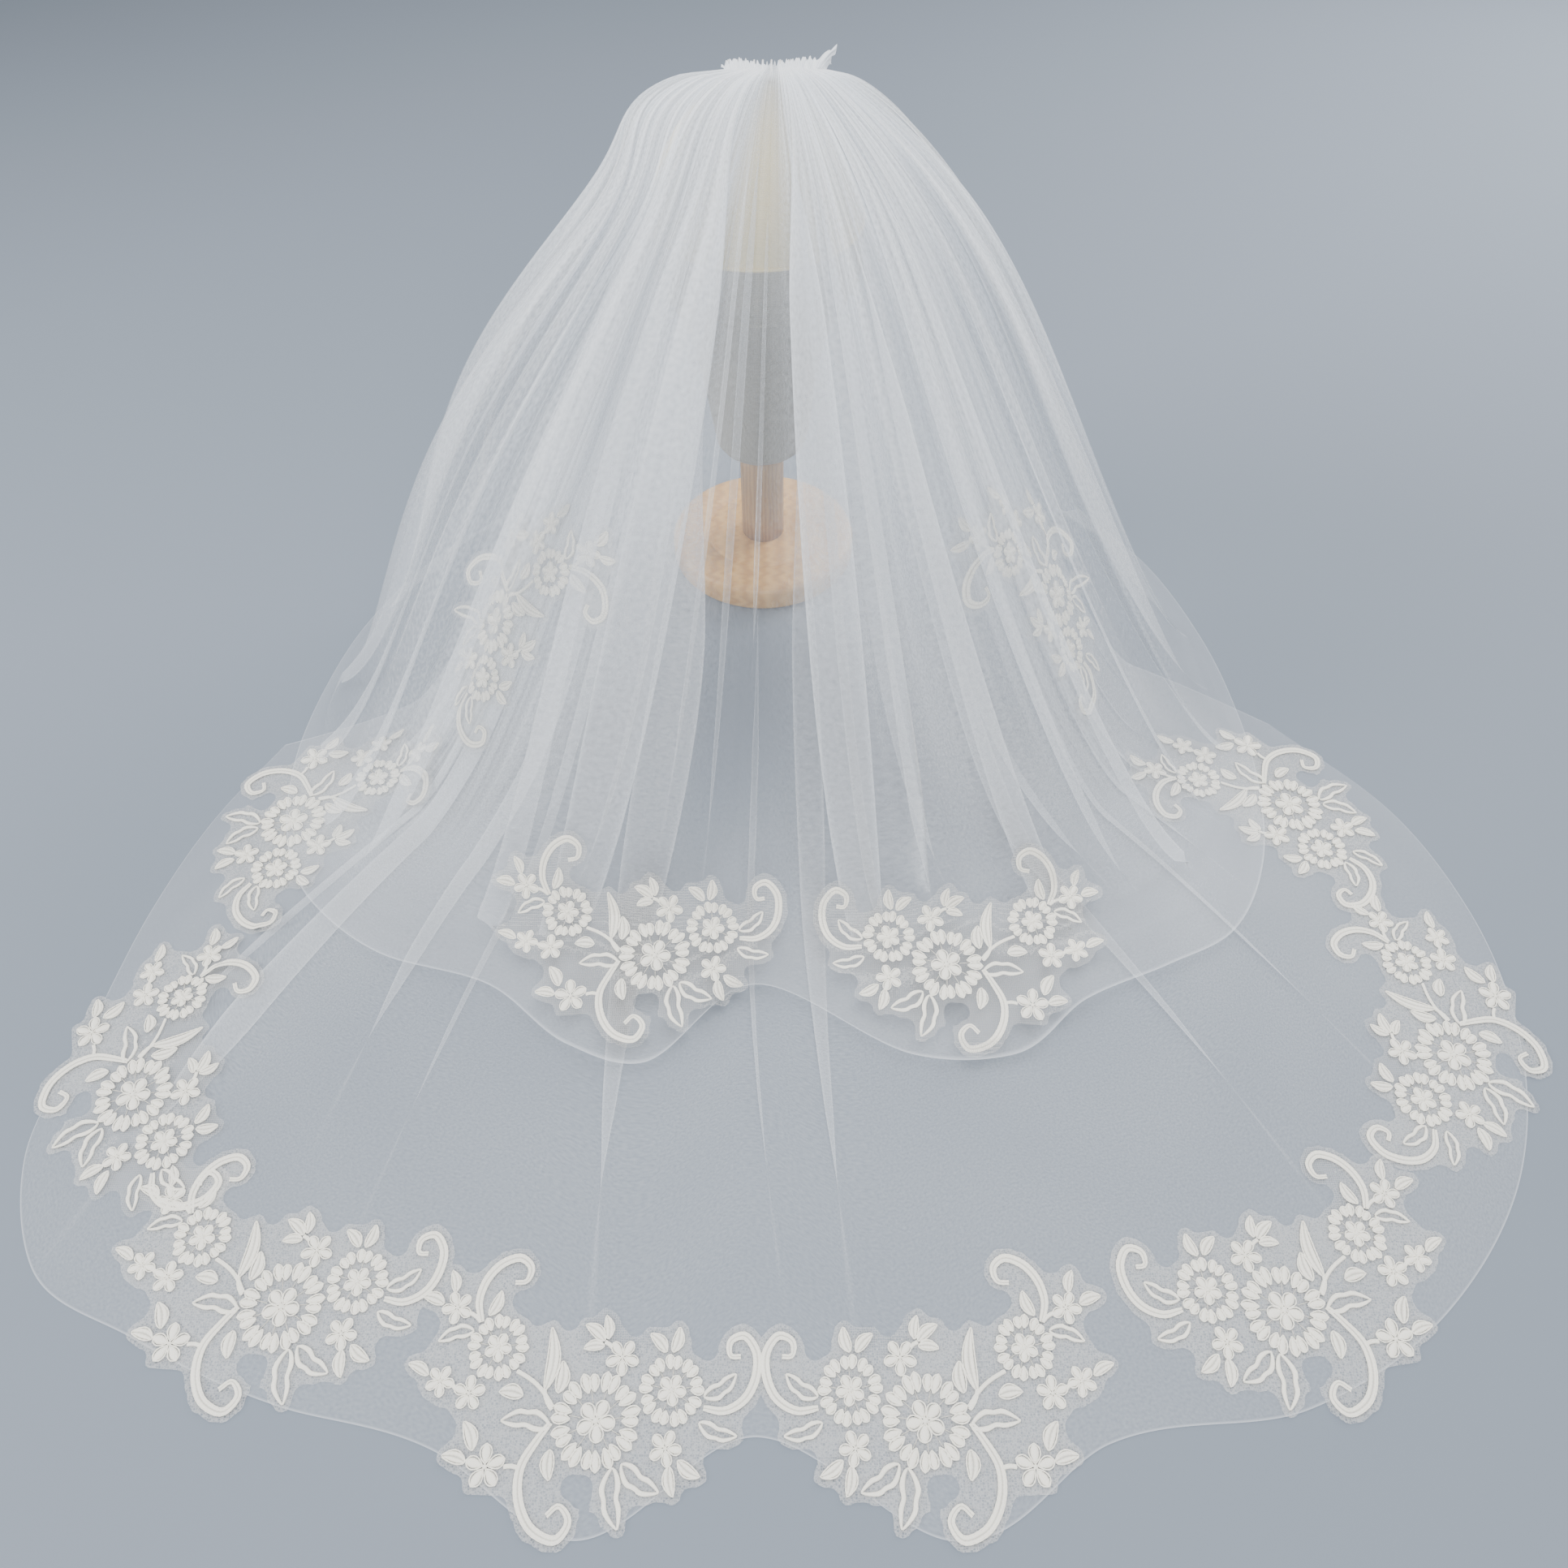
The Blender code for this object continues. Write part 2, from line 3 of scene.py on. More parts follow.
import bmesh
import bpy
import numpy as np
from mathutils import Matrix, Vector
from mathutils.bvhtree import BVHTree


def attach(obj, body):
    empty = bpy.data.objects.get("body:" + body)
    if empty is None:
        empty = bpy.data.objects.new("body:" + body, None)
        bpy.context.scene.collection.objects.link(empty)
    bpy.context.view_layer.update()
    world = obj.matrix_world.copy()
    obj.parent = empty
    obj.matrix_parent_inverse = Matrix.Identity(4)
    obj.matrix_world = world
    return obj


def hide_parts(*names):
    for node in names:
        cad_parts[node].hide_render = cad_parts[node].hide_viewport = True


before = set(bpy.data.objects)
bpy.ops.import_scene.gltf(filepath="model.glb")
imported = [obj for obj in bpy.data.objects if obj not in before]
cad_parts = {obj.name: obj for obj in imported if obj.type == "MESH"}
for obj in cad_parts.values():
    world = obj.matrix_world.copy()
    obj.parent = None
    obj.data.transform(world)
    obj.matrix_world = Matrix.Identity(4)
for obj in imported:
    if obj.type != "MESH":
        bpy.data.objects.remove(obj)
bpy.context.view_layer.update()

MM = 0.001


# The stand's base is a disc of pale pine, turned on a lathe with a softened upper edge and one shallow ring
# groove, then rubbed with a satin varnish. The post is dowelled into its middle.
BASE_PROFILE = (
    (0, 26), (30, 26), (51, 26), (53.2, 25.2), (55, 24.2), (56.8, 25.2), (59, 26), (78, 26),
    (84, 25.4), (88, 23.2), (89.8, 19.5), (90, 15), (90, 4), (89.2, 1.6), (87, 0), (0, 0),
)
PINE_LIGHT = (0.74, 0.43, 0.14)
PINE_DARK = (0.54, 0.27, 0.07)
TURNING_STEPS = 128


def shader_of(name, colour, roughness):
    """A new material with its shader's plain sockets set."""
    made = bpy.data.materials.new(name)
    made.use_nodes = True
    shader = made.node_tree.nodes["Principled BSDF"]
    shader.inputs["Base Color"].default_value = (*colour, 1)
    shader.inputs["Roughness"].default_value = roughness
    return made, shader


def place_node(material, kind, inputs=None, **settings):
    """A node in the material, with its sockets filled by a value or by another node's output."""
    made = material.node_tree.nodes.new(kind)
    for key, value in settings.items():
        setattr(made, key, value)
    for key, value in (inputs or {}).items():
        if isinstance(value, bpy.types.NodeSocket):
            material.node_tree.links.new(value, made.inputs[key])
        else:
            made.inputs[key].default_value = value
    return made


def own_place(material):
    """The piece's own coordinates, in metres."""
    return place_node(material, "ShaderNodeTexCoord").outputs["Object"]


def noise(material, scale, detail, where=None, **more):
    """Cloudy noise, so many clouds to the metre."""
    sockets = {"Scale": scale, "Detail": detail, **more}
    if where is not None:
        sockets["Vector"] = where
    return place_node(material, "ShaderNodeTexNoise", sockets).outputs["Fac"]


def mixed(material, share, a, b):
    """Two values mixed, share being the second's."""
    return place_node(material, "ShaderNodeMix", {"Factor": share, "A": a, "B": b}).outputs[0]


def colour_steps(material, factor, steps):
    """A colour ramp over the factor, from (place, colour) pairs."""
    ramp = place_node(material, "ShaderNodeValToRGB", {"Fac": factor})
    while len(ramp.color_ramp.elements) < len(steps):
        ramp.color_ramp.elements.new(0.5)
    for element, (place, colour) in zip(ramp.color_ramp.elements, steps):
        element.position = place
        element.color = (*colour, 1)
    return ramp.outputs["Color"]


def relief(material, shader, height, strength, distance):
    """Bump on a shader from a height."""
    sockets = {"Height": height, "Strength": strength, "Distance": distance}
    bump = place_node(material, "ShaderNodeBump", sockets)
    material.node_tree.links.new(bump.outputs["Normal"], shader.inputs["Normal"])


def turned_wood(name, light, dark, roughness, grain):
    """Turned wood with its grain running one way through the piece, and fine pores along it."""
    material, shader = shader_of(name, light, roughness)
    where = own_place(material)
    along = place_node(material, "ShaderNodeMapping", {"Vector": where, "Scale": grain}).outputs[0]
    drift = noise(material, 3.0, 3.0, along)
    rings = place_node(
        material,
        "ShaderNodeTexWave",
        {"Vector": along, "Scale": 2.2, "Distortion": 5.0, "Detail": 3.0, "Detail Scale": 1.4},
    )
    pores = noise(material, 60.0, 4.0, along, Roughness=0.7)
    grained = mixed(material, 0.3, mixed(material, 0.45, rings.outputs["Fac"], drift), pores)
    middle = tuple((a + b) / 2 for a, b in zip(light, dark))
    colour = colour_steps(material, grained, ((0.25, dark), (0.5, middle), (0.75, light)))
    material.node_tree.links.new(colour, shader.inputs["Base Color"])
    relief(material, shader, pores, 0.12, 0.0006)
    return material


def keep_piece(made, material, slot, *nodes):
    """Dresses a finished piece and sets it in the place of its solid."""
    made.data.materials.clear()
    made.data.materials.append(material)
    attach(made, "root")
    if nodes:
        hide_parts(*nodes)
    return made


def piece_from(name, points, faces):
    """A smooth piece from points in millimetres."""
    mesh = bpy.data.meshes.new(name)
    mesh.from_pydata((np.asarray(points) * MM).tolist(), [], faces)
    mesh.shade_smooth()
    made = bpy.data.objects.new(name, mesh)
    bpy.context.scene.collection.objects.link(made)
    return made


def turned_piece(name, profile, wobble=None):
    """A profile of (radius, height) pairs turned on the stand's axis.

    wobble says how far the radius is out at an angle and height.
    """
    points = []
    for radius, height in profile:
        if radius == 0:
            points.append((0, 0, height))
            continue
        for i in range(TURNING_STEPS):
            angle = 2 * math.pi * i / TURNING_STEPS
            reach = radius + (wobble(angle, height) if wobble else 0)
            points.append((reach * math.cos(angle), reach * math.sin(angle), height))
    rings = []
    at = 0
    for radius, _ in profile:
        size = 1 if radius == 0 else TURNING_STEPS
        rings.append(range(at, at + size))
        at += size
    faces = []
    for upper, lower in zip(rings, rings[1:]):
        for i in range(TURNING_STEPS):
            j = (i + 1) % TURNING_STEPS
            if len(upper) == 1:
                faces.append((upper[0], lower[i], lower[j]))
            elif len(lower) == 1:
                faces.append((upper[i], lower[0], upper[j]))
            else:
                faces.append((upper[i], lower[i], lower[j], upper[j]))
    return piece_from(name, points, faces)


pine = turned_wood("pale_pine", PINE_LIGHT, PINE_DARK, 0.42, (9.0, 42.0, 30.0))
base = turned_piece("turned_base", BASE_PROFILE)
keep_piece(base, pine, "base_wood", "stand_base")


# The post is a plain dowel of darker stained pine, 41 mm through, that stands in the base and carries the head
# form. Its grain runs up it.
POST_RADIUS = 20.5
POST_FOOT = 26.3
POST_TOP = 127.7
POST_PROFILE = (
    (0, POST_TOP), (POST_RADIUS, POST_TOP), (POST_RADIUS, 90), (POST_RADIUS, 50), (POST_RADIUS, POST_FOOT),
    (0, POST_FOOT),
)
stained = turned_wood("stained_pine", (0.48, 0.29, 0.13), (0.33, 0.18, 0.08), 0.48, (40.0, 40.0, 7.0))
post = turned_piece("turned_post", POST_PROFILE)
keep_piece(post, stained, "post_wood", "stand_post")


# The neck of the head form is firm foam in a sleeve of grey linen. It flares from a rounded foot on the post to
# the line where the head's own cover begins.
NECK_SHAPE = (
    (128.0, 30.0), (131.0, 38.0), (138.0, 41.5), (150.0, 43.5), (165.0, 45.5), (185.0, 48.0),
    (210.0, 52.0), (240.0, 58.0), (262.0, 67.0), (280.0, 75.5), (292.7, 80.6),
)
LINEN = (0.36, 0.345, 0.30)


def through(places, values, at):
    """A smooth curve through the values, read at these places."""
    slopes = np.gradient(values, places)
    i = np.clip(np.searchsorted(places, at, side="right") - 1, 0, len(places) - 2)
    span = places[i + 1] - places[i]
    t = (at - places[i]) / span
    start = (2 * t**3 - 3 * t**2 + 1) * values[i] + (t**3 - 2 * t**2 + t) * span * slopes[i]
    end = (3 * t**2 - 2 * t**3) * values[i + 1] + (t**3 - t**2) * span * slopes[i + 1]
    return start + end


def smooth_profile(shape, count):
    """(radius, height) pairs down a smooth curve through (height, radius) rows, closed on the axis."""
    heights, radii = np.array(shape, float).T
    at = np.linspace(heights[-1], heights[0], count)
    side = list(zip(through(heights, radii, at), at))
    return [(0, heights[-1])] + side + [(0, heights[0])]


def woven_cloth(name, colour, darker, threads, roughness, strength):
    """Plain woven cloth: threads up and round, uneven in thickness, with a little shade between them."""
    material, shader = shader_of(name, colour, roughness)
    shader.inputs["Sheen Weight"].default_value = 0.25
    shader.inputs["Sheen Roughness"].default_value = 0.5
    where = own_place(material)
    uneven = noise(material, 90.0, 3.0, where)
    waves = []
    for direction in ("X", "Y", "Z"):
        wave = place_node(
            material,
            "ShaderNodeTexWave",
            {"Vector": where, "Scale": threads, "Distortion": 1.2, "Detail": 1.0, "Detail Scale": 2.0},
            bands_direction=direction,
        )
        waves.append(wave.outputs["Fac"])
    weave = mixed(material, 0.5, mixed(material, 0.5, waves[0], waves[1]), waves[2])
    shade = mixed(material, 0.4, weave, uneven)
    tint = colour_steps(material, shade, ((0.3, darker), (0.62, colour)))
    material.node_tree.links.new(tint, shader.inputs["Base Color"])
    relief(material, shader, weave, strength, 0.0005)
    return material


linen = woven_cloth("grey_linen", LINEN, tuple(c * 0.72 for c in LINEN), 260.0, 0.9, 0.5)
neck = turned_piece(
    "head_form_neck",
    smooth_profile(NECK_SHAPE, 48),
    lambda angle, height: 0.35 * math.sin(3 * angle + height / 19) + 0.2 * math.sin(11 * angle + 1.3),
)
keep_piece(neck, linen, "grey_linen", "head_neck")


# The head form's crown is foam under a close cover of cream jersey. The cover is drawn down over the crown and
# ends in a rolled edge above the neck, with shallow pulls where it is stretched.
CROWN_SHAPE = (
    (293.3, 81.0), (300.0, 82.6), (318.0, 84.0), (346.0, 83.0), (368.0, 78.0), (386.0, 70.0),
    (402.0, 59.0), (415.0, 46.5), (425.0, 33.0), (431.5, 20.0), (435.2, 9.0), (436.0, 1.2),
)
CREAM = (0.86, 0.73, 0.40)
PULLS = 26
jersey = woven_cloth("cream_jersey", CREAM, tuple(c * 0.86 for c in CREAM), 420.0, 0.85, 0.25)
crown = turned_piece(
    "head_form_crown",
    smooth_profile(CROWN_SHAPE, 64),
    lambda angle, height: 0.5
    * math.sin(PULLS * angle + 2.0 * math.sin(3 * angle))
    * max(0.0, 1 - (height - 293.3) / 40),
)
keep_piece(crown, jersey, "cream_cloth", "head_crown")


# The neck's linen is drawn up over the crown's lower part as a close band. The cream cover ends above it in a
# rolled edge, which hides the linen's raw edge.
BAND_TOP = 338.0
BAND_FOOT = 291.5
BAND_STANDS_OUT = 0.7
ROLL_RADIUS = 1.3
crown_heights, crown_radii = np.array(CROWN_SHAPE).T
band_heights = np.linspace(BAND_TOP, BAND_FOOT, 24)
band_radii = through(crown_heights, crown_radii, np.maximum(band_heights, crown_heights[0])) + BAND_STANDS_OUT
linen_band = turned_piece(
    "linen_band",
    list(zip(band_radii, band_heights)),
    lambda angle, height: 0.3 * math.sin(PULLS * angle + 2.0 * math.sin(3 * angle)) * (BAND_TOP - height) / 40,
)
keep_piece(linen_band, linen, "grey_linen")
roll_profile = [
    (
        band_radii[0] + ROLL_RADIUS * (math.cos(math.pi * i / 6) - 0.3),
        BAND_TOP + ROLL_RADIUS * (math.sin(math.pi * i / 6) + 0.4),
    )
    for i in range(12, -1, -1)
]
cover_edge = turned_piece("cover_rolled_edge", roll_profile)
keep_piece(cover_edge, jersey, "cream_cloth")


# The comb is moulded in clear-white plastic: a flat bar with tapering teeth that push into the hair. It rests
# on the crown, and both tiers of the veil are sewn along its bar.
COMB_CENTRE_X = 15.0
COMB_WIDTH = 76.0
COMB_BAR = 7.0
COMB_LOW = 436.3
COMB_THICK = 1.6
TEETH = 12
TOOTH_LENGTH = 27.0
TOOTH_WIDTH = 2.6
TOOTH_ROOT = 0.6
comb_mesh = bmesh.new()


def comb_bar_or_tooth(middle, half, start, tip_half, tip):
    """A flat piece of the comb's thickness, straight or tapering from its start to its tip."""
    corners = (
        (middle - half, start),
        (middle + half, start),
        (middle + tip_half, tip),
        (middle - tip_half, tip),
    )
    face = comb_mesh.faces.new([comb_mesh.verts.new((x * MM, y * MM, COMB_LOW * MM)) for x, y in corners])
    raised = bmesh.ops.extrude_face_region(comb_mesh, geom=[face])
    tops = [item for item in raised["geom"] if isinstance(item, bmesh.types.BMVert)]
    bmesh.ops.translate(comb_mesh, verts=tops, vec=(0, 0, COMB_THICK * MM))


comb_bar_or_tooth(COMB_CENTRE_X, COMB_WIDTH / 2, -COMB_BAR / 2, COMB_WIDTH / 2, COMB_BAR / 2)
for tooth in range(TEETH):
    tooth_at = COMB_CENTRE_X - COMB_WIDTH / 2 + (tooth + 0.5) * COMB_WIDTH / TEETH
    root = COMB_BAR / 2 - TOOTH_ROOT
    comb_bar_or_tooth(tooth_at, TOOTH_WIDTH / 2, root, TOOTH_WIDTH / 4, root + TOOTH_LENGTH)
bmesh.ops.recalc_face_normals(comb_mesh, faces=comb_mesh.faces)
comb_data = bpy.data.meshes.new("comb")
comb_mesh.to_mesh(comb_data)
comb_mesh.free()
comb = bpy.data.objects.new("moulded_comb", comb_data)
bpy.context.scene.collection.objects.link(comb)
softened = comb.modifiers.new("moulded edges", "BEVEL")
softened.width = 0.5 * MM
softened.segments = 3
plastic, plastic_shader = shader_of("clear_white_plastic", (0.86, 0.86, 0.84), 0.22)
plastic_shader.inputs["Coat Weight"].default_value = 0.3
flow = noise(plastic, 400.0, 2.0)
relief(plastic, plastic_shader, flow, 0.05, 0.0003)
keep_piece(comb, plastic, "comb_plastic", "comb")


# The lower tier is one width of soft tulle with rounded corners, gathered to the comb's width along its upper
# edge. It falls to the floor, turns, and lies spread there in a wide half circle with narrow folds running out.
WALL = 1.0
GATHER_WIDTH = 72.0
GATHER_DROP = 1.5
GATHER_DEPTH = 0.6
FAN = 0.62
LANDING = 0.2
FLOOR_BEND = 0.35
FALL_COLUMNS = ("gather_z", "reach", "hump", "opens_from", "opens_to", "side")
LOWER_FALL = (441.9, 100.0, 4.0, 0.3, 0.75, -1)
TIER_COLUMNS = ("across", "foot_x", "foot_y", "hem_x", "hem_y", "floor_z")
LOWER_ROWS = (
    (0.00, -318, -212, -424, -262, 0),
    (0.05, -314, -250, -462, -340, 0),
    (0.11, -306, -292, -488, -434, 0),
    (0.17, -294, -325, -500, -536, 0),
    (0.22, -286, -345, -510, -640, 0),
    (0.26, -270, -364, -474, -716, 0),
    (0.31, -236, -386, -392, -758, 0),
    (0.37, -160, -410, -290, -796, 0),
    (0.41, -100, -420, -190, -820, 0),
    (0.44, -55, -424, -104, -866, 0),
    (0.48, -5, -425, 5, -812, 0),
    (0.52, 45, -424, 120, -866, 0),
    (0.57, 110, -419, 220, -816, 0),
    (0.64, 200, -400, 345, -798, 0),
    (0.71, 270, -362, 450, -742, 0),
    (0.78, 306, -322, 534, -650, 0),
    (0.84, 320, -288, 572, -550, 0),
    (0.90, 334, -250, 574, -436, 0),
    (0.95, 346, -208, 540, -336, 0),
    (1.00, 348, -165, 460, -240, 0),
)
PLEAT_COLUMNS = ("width", "depth", "lean")
LOWER_PLEATS = (
    (1.5, 3, 0.0),
    (1.0, 4, 0.0),
    (0.8, 7, 0.3),
    (1.2, 13, 1.3),
    (0.9, 15, 1.0),
    (1.1, 11, 0.4),
    (0.8, 14, -0.4),
    (1.0, 12, -1.0),
    (1.1, 15, -1.4),
    (0.8, 7, -0.3),
    (1.0, 4, 0.0),
    (1.5, 3, 0.0),
)
# Folds where the tulle doubles over itself: where across the tier each starts and ends, half its width as a
# share of the tier, where down the fall it opens and closes, how far it laps over early and late, and its lift.
FOLD_COLUMNS = ("across", "drifts_to", "half", "opens", "closes", "early", "late", "lift")
LOWER_FOLDS = (
    (0.060, 0.075, 0.014, 0.10, 1.30, 0.9, 0.6, 1.6),
    (0.115, 0.120, 0.016, 0.05, 1.20, 1.1, 0.7, 1.8),
    (0.165, 0.225, 0.016, 0.20, 1.93, 1.0, 0.6, 1.5),
    (0.222, 0.262, 0.026, 0.30, 1.99, 1.1, 0.9, 1.4),
    (0.285, 0.335, 0.014, 0.12, 1.70, 1.2, 0.6, 1.5),
    (0.335, 0.368, 0.008, 0.20, 1.84, 0.9, 0.45, 1.2),
    (0.372, 0.378, 0.012, 0.06, 1.05, 1.2, 0.6, 1.8),
    (0.392, 0.440, 0.017, 0.30, 1.88, 1.35, 0.42, 1.3),
    (0.440, 0.446, 0.010, 0.08, 1.00, 1.1, 0.5, 1.6),
    (0.472, 0.490, 0.007, 0.45, 1.88, 0.8, 0.42, 1.3),
    (0.530, 0.506, 0.013, 0.30, 1.88, 1.25, 0.42, 1.3),
    (0.562, 0.556, 0.010, 0.06, 1.35, 1.2, 0.7, 1.5),
    (0.598, 0.604, 0.014, 0.10, 1.05, 1.2, 0.6, 1.8),
    (0.640, 0.692, 0.014, 0.15, 1.90, 1.15, 0.45, 1.4),
    (0.690, 0.700, 0.014, 0.08, 1.20, 1.1, 0.7, 1.6),
    (0.736, 0.762, 0.013, 0.20, 1.88, 1.0, 0.5, 1.4),
    (0.790, 0.800, 0.016, 0.10, 1.45, 1.1, 0.7, 1.6),
    (0.845, 0.850, 0.013, 0.15, 1.35, 0.9, 0.7, 1.4),
    (0.900, 0.905, 0.016, 0.08, 1.20, 1.0, 0.6, 1.6),
    (0.955, 0.950, 0.010, 0.20, 1.10, 0.8, 0.5, 1.2),
)
# How closely the cloth is gathered across the tier, 1 being even.
GATHER_COLUMNS = ("across", "closeness")
LOWER_GATHERS = (
    (0, 1.0), (0.1, 1.2), (0.2, 1.4), (0.33, 1.5), (0.38, 1.2), (0.43, 0.4), (0.48, 0.2), (0.53, 0.4),
    (0.58, 1.4), (0.7, 1.3), (0.85, 1.2), (1, 1.0),
)
LOWER_HEM = 1.965
LOWER_CUT = (1.50, 0.92)
TULLE_WHITE = (0.86, 0.90, 0.95)
LAYER = 0.13
MOST_FULLNESS = 18.0
SHEET_COLUMNS = 800
LIES_ABOVE_FLOOR = 0.4
# A crease shows as so many more layers of net, and a cut edge as a line so opaque.
CREASE_LAYERS = 2.4
EDGE_OPACITY = 0.45
# Where down a tier the gathers begin to even out, and where they have.
EVENS_OUT = (0.7, 1.15)
PUFF_COLUMNS = ("across", "half", "down", "half_down", "x", "y", "z")


def table(columns, rows):
    """The rows as one array for each named column."""
    values = np.array(rows, float)
    return {name: values[:, i] for i, name in enumerate(columns)}


def ease(low, high, value):
    """0 below low, 1 above high and smooth between."""
    t = np.clip((value - low) / (high - low), 0, 1)
    return t * t * (3 - 2 * t)


class Tier:
    """One gathered tier of tulle: its falls from the comb, its pleats, its fine gathers and its folds."""

    def __init__(self, rows, pleats, fall, folds, gathers, puffs=()):
        self.rows = table(TIER_COLUMNS, rows)
        self.pleats = table(PLEAT_COLUMNS, pleats)
        self.fall = dict(zip(FALL_COLUMNS, fall))
        self.folds = [dict(zip(FOLD_COLUMNS, row)) for row in folds]
        self.gathers = table(GATHER_COLUMNS, gathers)
        self.puffs = [dict(zip(PUFF_COLUMNS, row)) for row in puffs]
        ends = np.concatenate([[0], np.cumsum(self.pleats["width"])])
        self.ends = ends / ends[-1]

    def column(self, name, across):
        return through(self.rows["across"], self.rows[name], across)

    def plain(self, across, down):
        """The unpleated sheet's point at each place."""
        across = np.clip(across, 0, 1)
        gather = np.stack(
            [
                COMB_CENTRE_X + (across - 0.5) * GATHER_WIDTH,
                np.zeros_like(across),
                self.fall["gather_z"] - GATHER_DROP * (2 * across - 1) ** 2,
            ],
            axis=-1,
        )
        low = self.column("floor_z", across) + WALL / 2
        foot = np.stack([self.column("foot_x", across), self.column("foot_y", across), low], -1)
        hem = np.stack([self.column("hem_x", across), self.column("hem_y", across), low], -1)
        run = foot - gather
        run[..., 2] = 0
        length = np.linalg.norm(run, axis=-1, keepdims=True)
        run /= length
        if down <= 1:
            leaving = np.arctan2(run[..., 0], -run[..., 1]) * FAN
            start = np.stack([np.sin(leaving), -np.cos(leaving), np.zeros_like(leaving)], axis=-1)
            over = gather + start * self.fall["reach"] + np.array([0, 0, self.fall["hump"]])
            landing = foot - run * length * LANDING
            t = down
            return (
                (1 - t) ** 3 * gather
                + 3 * (1 - t) ** 2 * t * over
                + 3 * (1 - t) * t**2 * landing
                + t**3 * foot
            )
        t = down - 1
        bend = foot + run * np.linalg.norm(hem - foot, axis=-1, keepdims=True) * FLOOR_BEND
        return (1 - t) ** 2 * foot + 2 * (1 - t) * t * bend + t**2 * hem

    def frame(self, across, down):
        """Point, direction across, direction out and width for each share of the plain sheet."""
        step = 0.002
        here = self.plain(across, down)
        ahead = self.plain(across + step, down)
        behind = self.plain(across - step, down)
        beside = ahead - behind
        below = self.plain(across, min(down + step, 2.0)) - self.plain(across, max(down - step, 0.0))
        out = np.cross(below, beside)
        out /= np.linalg.norm(out, axis=-1, keepdims=True)
        width = np.linalg.norm(beside, axis=-1)
        beside /= width[:, None]
        run = np.clip(across + step, 0, 1) - np.clip(across - step, 0, 1)
        return here, beside, out, width / run

    def laid(self, across, down):
        """The tier's cloth with its pleats, fine gathers and folds, and how sharply each place is creased."""
        here, beside, out, width = self.frame(across, down)
        i = np.clip(np.searchsorted(self.ends, across, side="right") - 1, 0, len(self.ends) - 2)
        part = (across - self.ends[i]) / (self.ends[i + 1] - self.ends[i])
        wave = (1 - np.cos(2 * math.pi * part)) / 2
        opened = ease(self.fall["opens_from"], self.fall["opens_to"], down)
        fading = (1 - ease(0.55, 1.05, down) * 0.78) * (1 - ease(1.0, 1.7, down))
        raised = (GATHER_DEPTH + (self.pleats["depth"][i] - GATHER_DEPTH) * opened) * fading * wave
        side = self.fall["side"]
        if side < 0:
            side = -1 + 2 * float(ease(0.78, 0.98, down))
        lean = self.pleats["lean"][i] * ease(0.05, 0.4, down) * raised
        settled = here + out * (raised * side)[:, None] + beside * lean[:, None]
        for puff in self.puffs:
            swell = np.exp(-(((across - puff["across"]) / puff["half"]) ** 2))
            swell = swell * math.exp(-(((down - puff["down"]) / puff["half_down"]) ** 2))
            way = np.array([puff["x"], puff["y"], puff["z"]])
            settled = settled + way * (swell * min(1.0, down * 20))[:, None]
        fine = (1 - float(ease(0.35, 0.9, down))) * float(ease(0.0, 0.08, down))
        ripple = np.sin(across * 2 * math.pi * 47 + 3 * np.sin(across * 17))
        ripple = ripple + 0.6 * np.sin(across * 2 * math.pi * 83 + 2 * np.sin(across * 29 + down * 2))
        settled = settled + out * (fine * 0.9 * ripple)[:, None]
        crease = np.zeros_like(across)
        for fold in self.folds:
            if not fold["opens"] < down < fold["closes"]:
                continue
            gone = (down - fold["opens"]) / (fold["closes"] - fold["opens"])
            share = float(ease(0, 0.22, gone) * (1 - ease(0.72, 1.0, gone)))
            t = (across - fold["across"] - (fold["drifts_to"] - fold["across"]) * gone) / fold["half"]
            ratio = (fold["early"] + (fold["late"] - fold["early"]) * float(ease(0.2, 0.9, gone))) * share
            turned = np.where(np.abs(t) < 1, np.sin(math.pi * t), 0)
            mound = 1 - ease(1, 2, np.abs(t))
            lift = fold["lift"] * share * mound * (1 + turned)
            settled = settled - beside * (ratio * fold["half"] * width * turned)[:, None] + out * lift[:, None]
            turns_at = math.acos(1 / max(math.pi * ratio, 1)) / math.pi
            sharp = min(1.0, max(0.0, ratio * 2.2))
            crease = np.maximum(crease, sharp * np.exp(-(((np.abs(t) - turns_at) / 0.09) ** 2)))
        return settled, crease, width


def uneven_gathers(across, down, fullness):
    """How the net's closeness varies: fine lines where it is gathered and soft clouds everywhere."""
    a, d = np.meshgrid(across, down)
    lines = np.zeros_like(a)
    for count, drift, share in ((67, 3.0, 0.5), (131, 5.0, 0.4), (223, 9.0, 0.3)):
        lines += share * np.sin(a * 2 * math.pi * count + 4 * np.sin(a * count / 5.3) + drift * np.sin(d * 1.7))
    clouds = 0.5 * np.sin(a * 31 + 3 * np.sin(d * 4.1)) + 0.5 * np.sin(d * 23 + 3 * np.sin(a * 27))
    return 1 + 0.6 * np.clip(lines, -1.0, 1.2) * ease(1.8, 4.0, fullness) + 0.12 * clouds


